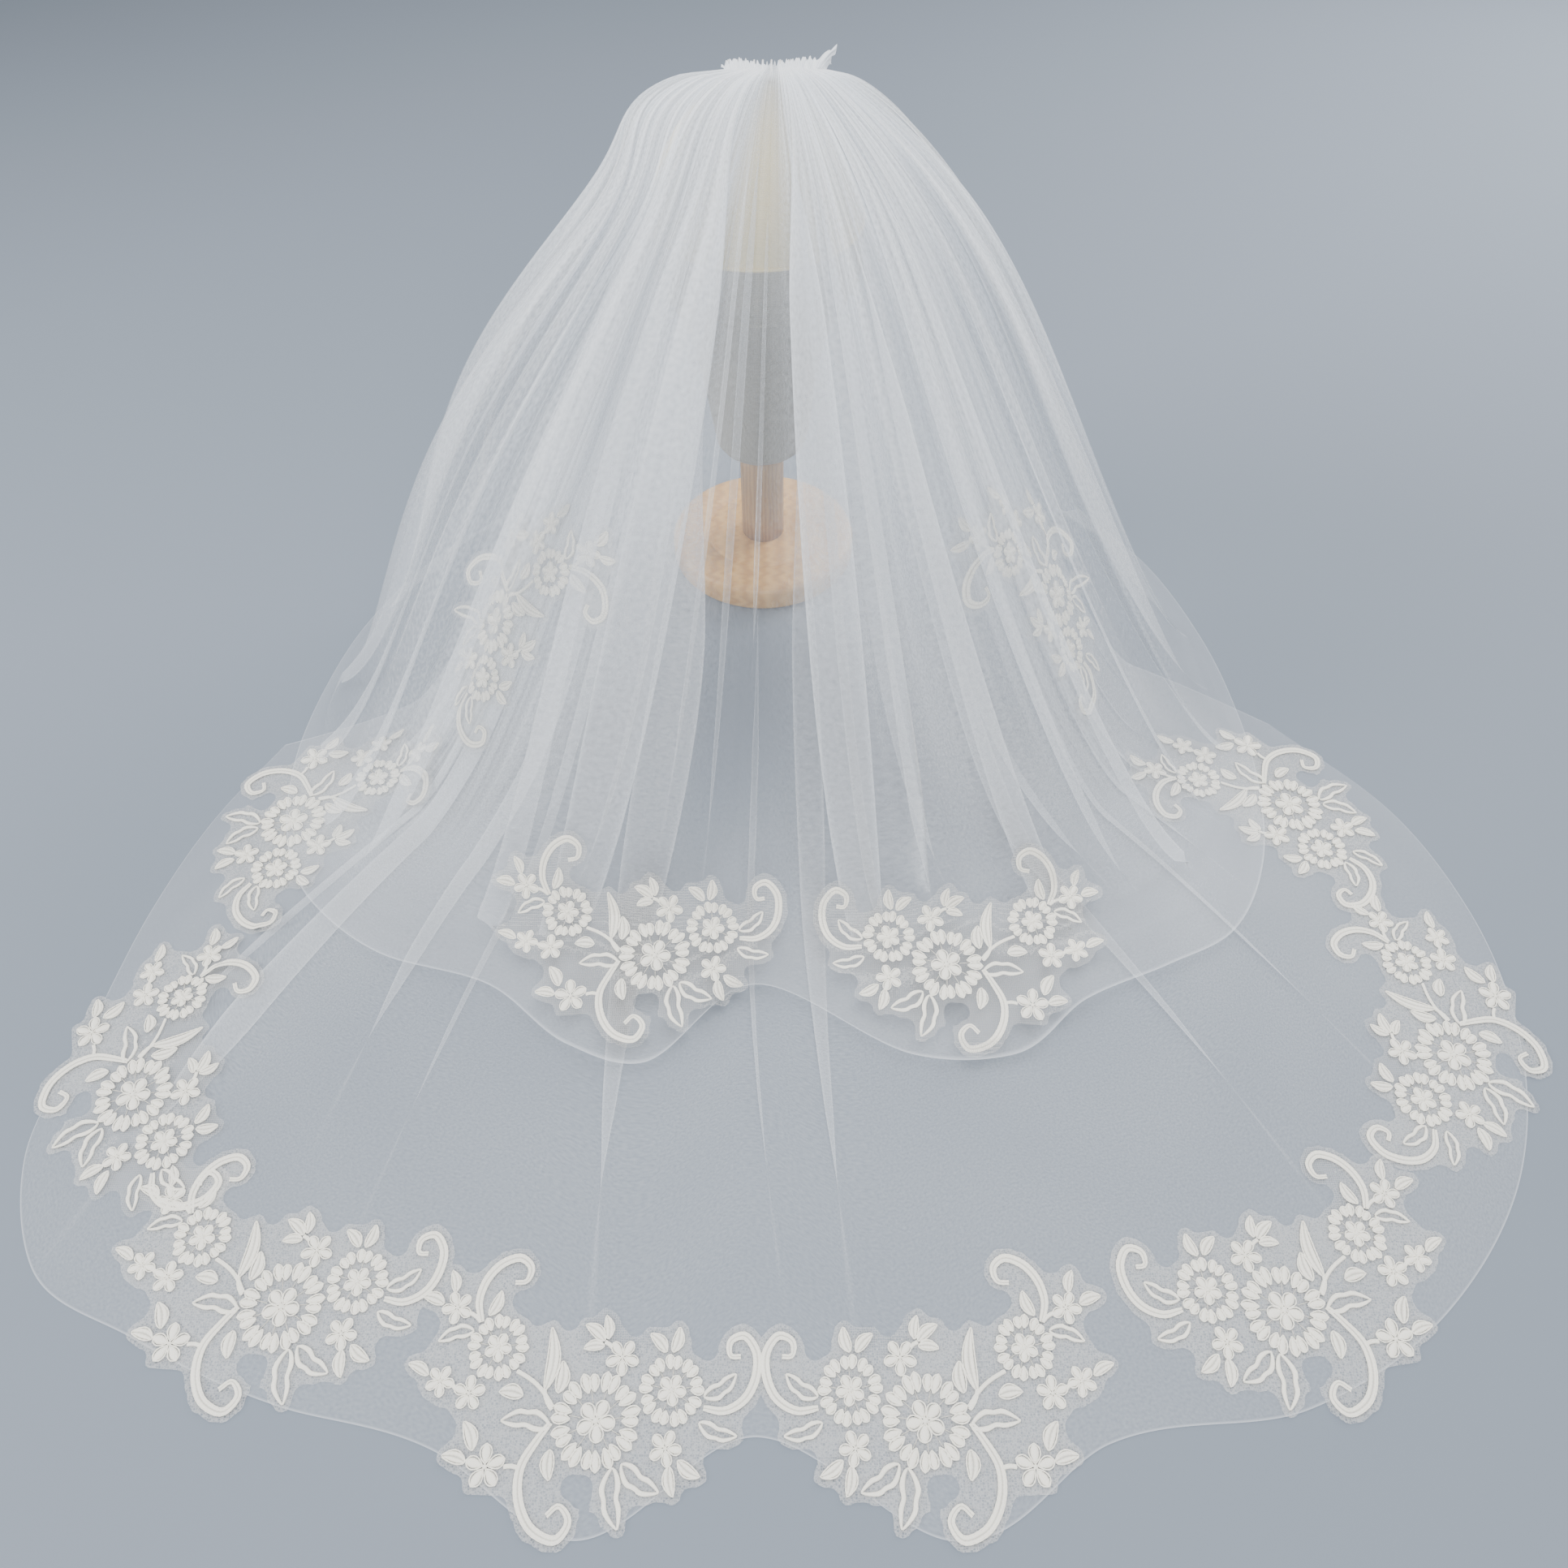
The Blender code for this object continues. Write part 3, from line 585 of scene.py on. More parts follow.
def tulle_sheet(name, tier, cut, downs, header=None):
    """The tier as one thin sheet, with its place on the flat cut and how closely its net is gathered."""
    across = np.linspace(0, 1, SHEET_COLUMNS)
    laid = [tier.laid(across, float(down)) for down in downs]
    grid = np.stack([points for points, _, _ in laid])
    crease = np.stack([sharp for _, sharp, _ in laid])
    width = np.stack([wide for _, _, wide in laid])
    places = list(downs)
    if header is not None:
        frill = header(across, grid[0])
        grid = np.concatenate([frill, grid])
        crease = np.concatenate([np.zeros(frill.shape[:2]), crease])
        width = np.concatenate([np.repeat(width[:1], len(frill), axis=0), width])
        places = [-0.03 * (len(frill) - i) for i in range(len(frill))] + places
    grid[..., 2] = np.maximum(grid[..., 2], LIES_ABOVE_FLOOR)
    rows = len(grid)
    index = np.arange(rows * SHEET_COLUMNS).reshape(rows, SHEET_COLUMNS)
    faces = np.stack([index[:-1, :-1], index[1:, :-1], index[1:, 1:], index[:-1, 1:]], -1).reshape(-1, 4)
    made = piece_from(name, grid.reshape(-1, 3), faces.tolist())
    closeness = np.interp(across, tier.gathers["across"], tier.gathers["closeness"])
    hanging = 1 - ease(*EVENS_OUT, np.array(places))
    closeness = 1 + (closeness - 1)[None, :] * hanging[:, None]
    fullness = np.clip(closeness * cut[0] / MM / width, np.minimum(1.0, closeness + 0.15), MOST_FULLNESS)
    fullness = fullness * uneven_gathers(across, np.array(places), fullness) + CREASE_LAYERS * crease
    edge = np.zeros((rows, SHEET_COLUMNS))
    edge[-1, :] = 1
    edge[:, 0] = 1
    edge[:, -1] = 1
    for label, values in (("fullness", fullness), ("cut_edge", edge)):
        stored = made.data.attributes.new(label, "FLOAT", "POINT")
        stored.data.foreach_set("value", values.reshape(-1).astype(np.float32))
    place = np.stack(np.meshgrid(across * cut[0], np.array(places) / 2 * cut[1]), -1).reshape(-1, 2)
    on_cut = made.data.uv_layers.new(name="flat_cut")
    corners = np.empty(len(made.data.loops), np.int32)
    made.data.loops.foreach_get("vertex_index", corners)
    on_cut.data.foreach_set("uv", place[corners].reshape(-1).astype(np.float32))
    return made


def stored_value(material, name):
    """A value that is kept at the piece's points."""
    return place_node(material, "ShaderNodeAttribute", attribute_name=name).outputs["Fac"]


def tulle_net(name, layer):
    """Soft tulle: fine net that lets most light by, closer and whiter where it is gathered or folded."""
    material, shader = shader_of(name, TULLE_WHITE, 0.65)
    shader.inputs["Sheen Weight"].default_value = 0.6
    shader.inputs["Sheen Roughness"].default_value = 0.35

    def sums(operation, *values):
        return place_node(material, "ShaderNodeMath", dict(enumerate(values)), operation=operation).outputs[0]

    cut = place_node(material, "ShaderNodeUVMap", uv_map="flat_cut").outputs[0]
    grain = noise(material, 620.0, 0.0, cut)
    full = stored_value(material, "fullness")
    edge = stored_value(material, "cut_edge")
    layers = sums("MULTIPLY", full, sums("MULTIPLY_ADD", grain, 1.2, 0.4))
    closed = sums("SUBTRACT", 1.0, sums("POWER", 1 - layer, layers))
    edged = sums("MAXIMUM", closed, sums("MULTIPLY", edge, EDGE_OPACITY))
    material.node_tree.links.new(edged, shader.inputs["Alpha"])
    return material


lower = Tier(LOWER_ROWS, LOWER_PLEATS, LOWER_FALL, LOWER_FOLDS, LOWER_GATHERS)
tulle = tulle_net("soft_tulle", LAYER)
lower_downs = np.concatenate([np.linspace(0, 1, 60), np.linspace(1, LOWER_HEM - 0.004, 50)[1:], [LOWER_HEM]])
lower_tier = tulle_sheet("lower_tulle", lower, LOWER_CUT, lower_downs)
keep_piece(lower_tier, tulle, "tulle", "lower_tier")


# The upper tier is a shorter width of the same tulle, gathered over the first and sewn to the same comb. It
# stands out over the lower tier in deep leaning folds, and only its hem touches down.
UPPER_FALL = (443.2, 128.0, 12.0, 0.08, 0.55, 1)
UPPER_ROWS = (
    (0.00, -252, 58, -262, 62, 0),
    (0.06, -325, -20, -337, -22, 0),
    (0.11, -366, -106, -380, -110, 1),
    (0.16, -382, -190, -398, -200, 5),
    (0.21, -378, -278, -400, -290, 10),
    (0.26, -358, -348, -384, -372, 10),
    (0.31, -318, -398, -346, -432, 10),
    (0.35, -262, -432, -286, -474, 10),
    (0.39, -186, -455, -200, -500, 10),
    (0.43, -120, -464, -135, -548, 10),
    (0.46, -70, -468, -80, -562, 10),
    (0.50, 0, -468, 0, -500, 10),
    (0.54, 75, -468, 115, -556, 10),
    (0.57, 140, -462, 185, -556, 10),
    (0.61, 215, -448, 245, -512, 10),
    (0.65, 282, -424, 310, -484, 10),
    (0.70, 336, -390, 370, -452, 10),
    (0.75, 376, -340, 408, -388, 10),
    (0.80, 400, -272, 424, -306, 10),
    (0.85, 404, -200, 426, -222, 7),
    (0.90, 400, -124, 418, -130, 1),
    (0.95, 374, -30, 388, -30, 0),
    (1.00, 320, 58, 332, 62, 0),
)
UPPER_PLEATS = (
    (1.0, 14, 0.3),
    (0.9, 20, 0.5),
    (1.1, 24, 0.8),
    (0.8, 20, 0.9),
    (1.1, 25, 0.9),
    (0.8, 18, 0.8),
    (1.2, 20, 0.5),
    (1.1, 12, 0.0),
    (0.8, 20, -0.6),
    (1.1, 24, -0.9),
    (0.8, 20, -0.9),
    (1.1, 25, -0.8),
    (0.9, 20, -0.5),
    (1.0, 14, -0.3),
)
UPPER_FOLDS = (
    (0.050, 0.050, 0.014, 0.15, 0.95, 0.9, 0.6, 1.8),
    (0.100, 0.105, 0.018, 0.06, 1.10, 1.1, 0.7, 2.0),
    (0.150, 0.160, 0.015, 0.15, 1.20, 0.9, 0.8, 2.0),
    (0.205, 0.212, 0.020, 0.05, 1.30, 1.1, 0.7, 2.2),
    (0.258, 0.262, 0.016, 0.18, 1.20, 0.9, 0.8, 2.0),
    (0.300, 0.306, 0.017, 0.06, 1.10, 1.2, 0.8, 2.2),
    (0.352, 0.386, 0.009, 0.05, 1.30, 1.3, 1.0, 2.0),
    (0.402, 0.412, 0.026, 0.05, 1.30, 1.3, 0.75, 2.4),
    (0.448, 0.446, 0.008, 0.10, 0.85, 1.0, 0.6, 1.6),
    (0.494, 0.492, 0.005, 0.18, 0.66, 0.9, 0.7, 1.4),
    (0.545, 0.546, 0.025, 0.05, 1.30, 1.25, 0.6, 2.4),
    (0.583, 0.570, 0.010, 0.12, 1.00, 1.1, 0.8, 1.8),
    (0.622, 0.622, 0.017, 0.15, 1.40, 1.1, 0.8, 2.0),
    (0.662, 0.664, 0.012, 0.05, 1.10, 1.2, 0.7, 2.0),
    (0.703, 0.705, 0.018, 0.10, 1.30, 1.0, 0.8, 2.2),
    (0.748, 0.750, 0.013, 0.20, 1.10, 1.1, 0.7, 1.8),
    (0.796, 0.800, 0.019, 0.06, 1.20, 1.1, 0.8, 2.2),
    (0.850, 0.850, 0.013, 0.15, 1.05, 0.9, 0.7, 1.8),
    (0.900, 0.895, 0.018, 0.08, 1.10, 1.1, 0.6, 2.0),
    (0.952, 0.948, 0.012, 0.20, 0.95, 0.9, 0.6, 1.6),
)
UPPER_GATHERS = (
    (0, 1.0), (0.15, 1.2), (0.26, 1.4), (0.34, 1.6), (0.38, 1.5), (0.425, 0.4), (0.47, 0.2), (0.515, 0.4),
    (0.55, 1.5), (0.62, 1.5), (0.72, 1.3), (0.85, 1.2), (1, 1.0),
)
# Where the tier swells out past an even fall, as the photo's shoulders do.
UPPER_PUFFS = (
    (0.17, 0.16, 0.11, 0.10, -34, -4, 5),
    (0.15, 0.17, 0.50, 0.26, -26, 0, 10),
    (0.84, 0.15, 0.30, 0.20, 18, 0, 8),
)
UPPER_CUT = (1.50, 0.62)
HEADER_LENGTH = 7.0
HEADER_ROWS = 7
TAIL_AT = 0.93


def header_frill(across, gathered):
    """The gathered edge above the stitching: a short frill that leans back over the comb, one end standing."""
    rows = []
    for i in range(HEADER_ROWS, 0, -1):
        s = i / HEADER_ROWS
        ruffle = np.sin(across * 2 * math.pi * 23 + 3 * np.sin(across * 13))
        ruffle = ruffle + 0.6 * np.sin(across * 2 * math.pi * 41 + 2 * np.sin(across * 31))
        swell = 1 + 0.45 * np.sin(across * 9 + 0.8) - 0.9 * np.exp(-((across / 0.06) ** 2))
        tail = np.exp(-(((across - TAIL_AT) / 0.035) ** 2))
        row = gathered.copy()
        row[:, 0] += (across - 0.45) * 7 * s + 9 * tail * s
        row[:, 1] += HEADER_LENGTH * s * swell * (1 - 0.6 * tail) + 1.2 * s * ruffle
        row[:, 2] += 2.4 * math.sin(math.pi * s * 0.8) * swell + 0.9 * s * ruffle + 12 * tail * s
        rows.append(row)
    return np.stack(rows)


upper = Tier(UPPER_ROWS, UPPER_PLEATS, UPPER_FALL, UPPER_FOLDS, UPPER_GATHERS, UPPER_PUFFS)
upper_downs = np.concatenate([np.linspace(0, 1, 92), np.linspace(1, 1.96, 10)[1:], [2.0]])
upper_tier = tulle_sheet("upper_tulle", upper, UPPER_CUT, upper_downs, header_frill)
keep_piece(upper_tier, tulle, "tulle", "upper_tier")


# Each lace spray is a bought motif of cord and satin stitch on a scrap of net: one large flower, two middling
# ones, small five-petal flowers, leaves and scrolls. It is cut out close and sewn to the tulle beside its hem.
FLOWER_COLUMNS = ("along", "inward", "radius", "petals")
LARGE_FLOWERS = ((0, 0, 27, 11), (-44, 18, 20, 9), (66, 38, 19, 9))
SMALL_FLOWERS = (
    (62, -26, 12), (96, 60, 10), (-12, 35, 10.5), (98, 18, 9), (-43, -13, 10), (79, 12, 10),
)
LEAF_COLUMNS = ("along", "inward", "length", "width", "turn")
OPEN_LEAVES = (
    (27, -4, 30, 12, 4),
    (-13, -24, 31, 13, -102),
    (-18, -22, 27, 12, -150),
    (83, 47, 22, 9, -18),
    (-64, 15, 23, 10, 145),
    (-62, 1, 24, 9, -165),
)
CLOSED_LEAVES = (
    (33, 15, 36, 8, 88),
    (25, 14, 18, 8, 92),
    (46, 12, 15, 8, 6),
    (25, -16, 16, 8, -96),
    (75, 56, 16, 7, 110),
    (105, 62, 15, 7, 16),
    (99, 69, 14, 6, 70),
    (106, 21, 15, 6, 24),
    (0, 44, 16, 7, 34),
    (-2, 45, 14, 6, 78),
    (0, 41, 13, 6, -8),
    (-39, 39, 15, 7, 42),
    (-43, 39, 15, 7, 102),
    (71, -18, 17, 8, 62),
    (74, -24, 15, 7, 10),
    (-46, -22, 16, 7, -104),
    (-51, -19, 16, 7, -150),
)
STEM_COLUMNS = ("along", "inward", "to_along", "to_inward")
STEMS = (
    (27, 6, 52, 25),
    (43, -26, 51, -26),
    (-5, 40, 0, 43),
    (80, 52, 88, 57),
    (88, 14, 91, 16),
    (33, 15, 27, 5),
)
# Each scroll is a few places along and inward that its middle line runs through.
SCROLLS = (
    ((-64, 9), (-77, 8), (-89, 15), (-95, 28), (-94, 42), (-86, 50), (-78, 46), (-79, 38), (-85, 38)),
    ((79, 52), (83, 64), (80, 78), (71, 88), (60, 91), (53, 85), (55, 77), (62, 76)),
    ((27, -2), (34, -12), (41, -26), (39, -43), (28, -57), (14, -60), (9, -51), (16, -44), (22, -49)),
)
NET_BRIDGE = 10.0
NET_MARGIN = 3.6
NET_PITCH = 2.0
NET_MARKS = 2500
THREAD = 0.62
STITCH = 1.6
LACE_IVORY = (0.95, 0.925, 0.83)


# The section of a satin band: places across it and heights there, as shares.
ROUNDED = ((-1.0, 0.1), (-0.72, 0.7), (0.0, 1.0), (0.72, 0.7), (1.0, 0.1))
GROOVED = ((-1.0, 0.1), (-0.8, 0.85), (-0.45, 1.0), (0.0, 0.15), (0.45, 1.0), (0.8, 0.85), (1.0, 0.1))


class Needlework:
    """Flat lace in millimetres, worked element by element into one mesh."""

    def __init__(self):
        self.points = []
        self.faces = []
        self.count = 0

    def add(self, points, faces):
        self.points.append(points)
        self.faces.append(np.asarray(faces) + self.count)
        self.count += len(points)

    def grid(self, points, closed):
        """Quads over rows of points. closed joins the last row to the first."""
        rows, columns = points.shape[:2]
        index = np.arange(rows * columns).reshape(rows, columns)
        if closed:
            index = np.vstack([index, index[:1]])
        faces = np.stack([index[:-1, :-1], index[:-1, 1:], index[1:, 1:], index[1:, :-1]], -1)
        self.add(points.reshape(-1, 3), faces.reshape(-1, 4))

    def cord(self, path, radius, closed=False, seat=0.3):
        """A twisted cord couched down along a path."""
        path = even_path(path, STITCH, closed)
        ahead = np.roll(path, -1, axis=0) - np.roll(path, 1, axis=0)
        if not closed:
            ahead[0] = path[1] - path[0]
            ahead[-1] = path[-1] - path[-2]
        beside = square_to(ahead)
        turns = np.linspace(math.pi * 1.15, -math.pi * 0.15, 5)
        swell = radius * (1 + 0.16 * np.cos(np.arange(len(path)) * math.pi))
        rings = np.zeros((len(path), len(turns), 3))
        rings[..., :2] = path[:, None] + beside[:, None] * (swell[:, None] * np.cos(turns))[..., None]
        rings[..., 2] = seat + radius * 0.5 + swell[:, None] * np.sin(turns)
        self.grid(rings, closed)

    def satin(self, spine, half_width, height, profile=ROUNDED):
        """Satin stitch across a spine: a low dome with its threads as fine ribs, or two beside a groove."""
        steps = len(spine)
        beside = square_to(np.gradient(spine, axis=0))
        over, dome = np.array(profile).T
        rows = np.zeros((steps, len(over), 3))
        rows[..., :2] = spine[:, None] + beside[:, None] * (half_width[:, None] * over)[..., None]
        rib = 1 - 0.2 * (np.arange(steps) % 2)
        full = np.clip(half_width / max(half_width.max(), 1e-6) * 2.2, 0.25, 1)
        rows[..., 2] = 0.12 + height * (rib * full)[:, None] * dome
        self.grid(rows[:, ::-1], False)


def square_to(ahead):
    """The directions square to a flat path's steps."""
    ahead = ahead / np.maximum(np.linalg.norm(ahead, axis=1, keepdims=True), 1e-6)
    return np.stack([-ahead[:, 1], ahead[:, 0]], axis=1)


def run_along(path):
    """How far along a path each of its points is."""
    return np.concatenate([[0], np.cumsum(np.linalg.norm(np.diff(path, axis=0), axis=1))])


def even_path(path, spacing, closed=False):
    """The path with its points evenly spaced."""
    path = np.asarray(path, float)
    if closed:
        path = np.vstack([path, path[:1]])
    run = run_along(path)
    count = max(int(run[-1] / spacing), 4)
    at = np.linspace(0, run[-1], count + 1)
    if closed:
        count -= count % 2
        at = np.linspace(0, run[-1], count + 1)[:-1]
    return np.stack([np.interp(at, run, path[:, 0]), np.interp(at, run, path[:, 1])], axis=1)


def turned_by(shape, angle, at):
    """A flat shape turned and set in its place."""
    c, s = math.cos(angle), math.sin(angle)
    return np.asarray(shape) @ np.array([[c, s], [-s, c]]) + np.asarray(at)


def petal_outline(inner, outer, half_width):
    """A petal's side, out from the middle and round its tip: how far out and how wide."""
    t = np.linspace(0, 1, 12)
    return inner + (outer - inner) * t, half_width * np.sin(math.pi * t**1.3) ** 0.6


def work_petal(lace, at, angle, inner, outer, half_width, cord):
    """A satin petal inside a line of cord."""
    reach, spread = petal_outline(inner, outer, half_width)
    spine = turned_by(np.stack([reach, np.zeros_like(reach)], 1), angle, at)
    lace.satin(spine, spread * 0.74 + 0.1, 1.0)
    edge = np.concatenate([np.stack([reach, spread], 1), np.stack([reach, -spread], 1)[::-1]])
    lace.cord(turned_by(edge, angle, at), cord, seat=0.35)


def work_flower(lace, along, inward, radius, petals):
    """A large flower: a ring of corded petals, bare net with a few threads over it, and a small flower."""
    at = (along, inward)
    for i in range(petals):
        angle = 2 * math.pi * (i + 0.25) / petals
        for hand in (-1, 1):
            lobe = angle + hand * 0.21 * 2 * math.pi / petals
            outer = radius * (1.0 if (i + hand) % 3 else 0.95)
            work_petal(lace, at, lobe, radius * 0.58, outer, radius * 1.2 / petals, THREAD * 0.8)
        thread = np.array([[radius * 0.36, 0], [radius * 0.62, 0]])
        lace.cord(turned_by(thread, angle, at), THREAD * 0.45, seat=0.0)
    for i in range(5):
        angle = 2 * math.pi * (i + 0.6) / 5
        work_petal(lace, at, angle, radius * 0.06, radius * 0.44, radius * 0.155, THREAD * 0.75)
    work_knot(lace, at, radius * 0.07)


def work_knot(lace, at, radius):
    """A French knot."""
    rings = np.zeros((8, 4, 3))
    for i in range(8):
        angle = 2 * math.pi * i / 8
        for j, (share, height) in enumerate(((1.0, 0.2), (0.95, 1.0), (0.6, 1.6), (0.02, 1.8))):
            rings[i, j] = (
                at[0] + radius * share * math.cos(angle),
                at[1] + radius * share * math.sin(angle),
                height,
            )
    lace.grid(rings, True)


def work_small_flower(lace, along, inward, radius):
    """A small flower of five satin petals round a knot."""
    turn = (along * 0.13 + inward * 0.07) % 1.2
    for i in range(5):
        angle = turn + 2 * math.pi * i / 5
        work_petal(lace, (along, inward), angle, radius * 0.12, radius, radius * 0.30, THREAD * 0.7)
    work_knot(lace, (along, inward), radius * 0.12)


def leaf_edge(length, width, waist):
    """A leaf's side: how far along and how wide. waist pinches it into two eyes."""
    t = np.linspace(0, 1, 21)
    spread = width / 2 * np.sin(math.pi * t**0.85) ** 0.8
    spread = spread * (1 - waist * np.exp(-(((t - 0.5) / 0.13) ** 2)))
    return t * length, np.maximum(spread, 0.0)


def work_leaf(lace, along, inward, length, width, turn, filled):
    """A leaf inside a cord: filled with two rows of satin, or open with a band round its edge."""
    angle = math.radians(turn)
    reach, spread = leaf_edge(length, width, 0.0 if filled else 0.32)
    bow = 0.09 * length * np.sin(math.pi * reach / length)
    spine = np.stack([reach, bow], 1)
    at = (along, inward)
    left = np.stack([reach, bow + spread], 1)
    right = np.stack([reach, bow - spread], 1)
    if filled:
        fine = even_path(turned_by(spine, angle, at), 1.1)
        share = np.linspace(0, 1, len(fine))
        lace.satin(fine, np.interp(share, reach / length, spread * 0.8) + 0.12, 0.9, GROOVED)
        lace.cord(turned_by(np.concatenate([left, right[::-1]]), angle, at), THREAD * 0.8)
        return
    for side in (left, right):
        inner = spine + (side - spine) * 0.62
        band = even_path(turned_by(spine + (side - spine) * 0.8, angle, at), 1.1)
        share = np.linspace(0, 1, len(band))
        half = np.interp(share, reach / length, np.abs(side - inner)[:, 1] / 2) + 0.55
        lace.satin(band, half, 1.0)
        lace.cord(turned_by(side, angle, at), THREAD * 0.85)
        lace.cord(turned_by(inner, angle, at), THREAD * 0.55)


def rounded(path, spacing):
    """A smooth, evenly spaced curve through a few places."""
    path = np.asarray(path, float)
    run = run_along(path)
    at = np.linspace(0, run[-1], 12 * len(path))
    curve = np.stack([through(run, path[:, 0], at), through(run, path[:, 1], at)], axis=1)
    return even_path(curve, spacing)


def work_scroll(lace, path):
    """A scroll: a band of satin between two cords, ending in an eye."""
    spine = rounded(path, 1.1)
    share = np.linspace(0, 1, len(spine))
    half = 1.1 + 1.3 * np.sin(math.pi * np.clip(share * 1.1, 0, 1)) ** 0.6
    beside = square_to(np.gradient(spine, axis=0))
    lace.satin(spine, half, 0.95, GROOVED)
    for hand in (-1, 1):
        lace.cord(spine + beside * (half * hand)[:, None], THREAD * 0.7)


def work_spray():
    """One whole spray, in millimetres, with its underside at height 0."""
    lace = Needlework()
    for row in LARGE_FLOWERS:
        work_flower(lace, **dict(zip(FLOWER_COLUMNS, row)))
    for row in SMALL_FLOWERS:
        work_small_flower(lace, **dict(zip(FLOWER_COLUMNS, row)))
    for rows, filled in ((OPEN_LEAVES, False), (CLOSED_LEAVES, True)):
        for row in rows:
            work_leaf(lace, filled=filled, **dict(zip(LEAF_COLUMNS, row)))
    for path in SCROLLS:
        work_scroll(lace, path)
    for row in STEMS:
        stem = dict(zip(STEM_COLUMNS, row))
        start = np.array([stem["along"], stem["inward"]])
        end = np.array([stem["to_along"], stem["to_inward"]])
        run = end - start
        bow = np.array([-run[1], run[0]]) * 0.08
        t = np.linspace(0, 1, 12)[:, None]
        line = start + run * t + bow * np.sin(math.pi * t)
        fine = even_path(line, 1.1)
        lace.satin(fine, np.full(len(fine), 1.1), 0.95)
        lace.cord(line + np.array([-run[1], run[0]]) / np.linalg.norm(run) * 1.1, THREAD * 0.7)
    return lace


def net_backing(worked, pitch):
    """The scrap of net under a spray, cut a little way outside its stitches and straight across its hollows."""
    marks = worked[:: max(1, len(worked) // NET_MARKS), :2]
    low = marks.min(axis=0) - NET_BRIDGE - 3 * pitch
    high = marks.max(axis=0) + NET_BRIDGE + 3 * pitch
    gx, gy = np.meshgrid(np.arange(low[0], high[0], pitch), np.arange(low[1], high[1], pitch), indexing="ij")
    near = np.full(gx.shape, 1e9)
    for x, y in marks:
        near = np.minimum(near, np.hypot(gx - x, gy - y))
    clear = (near >= NET_BRIDGE) & (near < NET_BRIDGE + 1.6 * pitch)
    from_edge = np.full(gx.shape, 1e9)
    pull_x, pull_y = np.zeros_like(gx), np.zeros_like(gy)
    for x, y in zip(gx[clear], gy[clear]):
        away = np.hypot(gx - x, gy - y)
        closer = away < from_edge
        from_edge[closer] = away[closer]
        pull_x[closer], pull_y[closer] = x, y
    keep = (near < NET_BRIDGE) & (from_edge > NET_BRIDGE - NET_MARGIN)
    index = np.full(keep.shape, -1)
    index[keep] = np.arange(keep.sum())
    quads = np.stack([index[:-1, :-1], index[1:, :-1], index[1:, 1:], index[:-1, 1:]], -1).reshape(-1, 4)
    quads = quads[(quads >= 0).all(axis=1)]
    points = np.stack([gx[keep], gy[keep]], axis=1)
    inside = np.bincount(quads.reshape(-1), minlength=len(points)) == 4
    edge = np.stack([pull_x[keep], pull_y[keep]], axis=1)
    away = points - edge
    snapped = edge + away / np.linalg.norm(away, axis=1, keepdims=True) * (NET_BRIDGE - NET_MARGIN)
    stays = inside | (from_edge[keep] > NET_BRIDGE - NET_MARGIN + 1.6 * pitch)
    points = np.where(stays[:, None], points, snapped)
    points = np.concatenate([points, np.full((len(points), 1), 0.1)], axis=1)
    used = np.unique(quads)
    renumber = np.full(len(points), -1)
    renumber[used] = np.arange(len(used))
    return points[used], renumber[quads]


def lace_place(tree, x, y, turn, hand, slope, facing):
    """What a spray needs to be laid on a tier: its centre on the cloth and its three directions."""
    face, tip, spin = (math.radians(angle) for angle in (facing, slope, turn))
    level = Vector((math.cos(face), math.sin(face), 0))
    out = Vector((math.sin(face) * math.sin(tip), -math.cos(face) * math.sin(tip), math.cos(tip)))
    uphill = out.cross(level)
    along = (level * math.cos(spin) + uphill * math.sin(spin)) * hand
    inward = uphill * math.cos(spin) - level * math.sin(spin)
    centre = tree.ray_cast(Vector((x * MM, y * MM, 1)), Vector((0, 0, -1)))[0]
    return centre, along, inward, out


def lay_lace(points, tree, place, reach, gap):
    """The flat points pressed onto the cloth, bridging the folds that are narrower than reach."""
    centre, along, inward, out = place
    low = points[:, :2].min(axis=0) - reach
    steps = np.ceil((points[:, :2].max(axis=0) + reach - low) / reach).astype(int) + 1
    lifts = np.full(steps, np.nan)
    for i in range(steps[0]):
        for j in range(steps[1]):
            s, t = low + np.array([i, j]) * reach
            above = centre + along * (s * MM) + inward * (t * MM) + out * (PROBE_HEIGHT * MM)
            seat = tree.ray_cast(above, -out)[0]
            if seat is not None:
                lifts[i, j] = PROBE_HEIGHT - (above - seat).length / MM
    lifts = np.where(np.isnan(lifts), np.nanmedian(lifts), lifts)
    padded = np.pad(lifts, 1, mode="edge")
    around = [padded[i : i + steps[0], j : j + steps[1]] for i in range(3) for j in range(3)]
    lifts = np.max(around, axis=0)
    where = (points[:, :2] - low) / reach
    cell = np.minimum(where.astype(int), steps - 2)
    f = where - cell
    i, j = cell.T
    height = (
        lifts[i, j] * (1 - f[:, 0]) * (1 - f[:, 1])
        + lifts[i + 1, j] * f[:, 0] * (1 - f[:, 1])
        + lifts[i, j + 1] * (1 - f[:, 0]) * f[:, 1]
        + lifts[i + 1, j + 1] * f[:, 0] * f[:, 1]
    )
    height = height + gap + points[:, 2]
    base_point = np.array(centre) / MM
    return (
        base_point
        + points[:, :1] * np.array(along)
        + points[:, 1:2] * np.array(inward)
        + height[:, None] * np.array(out)
    )


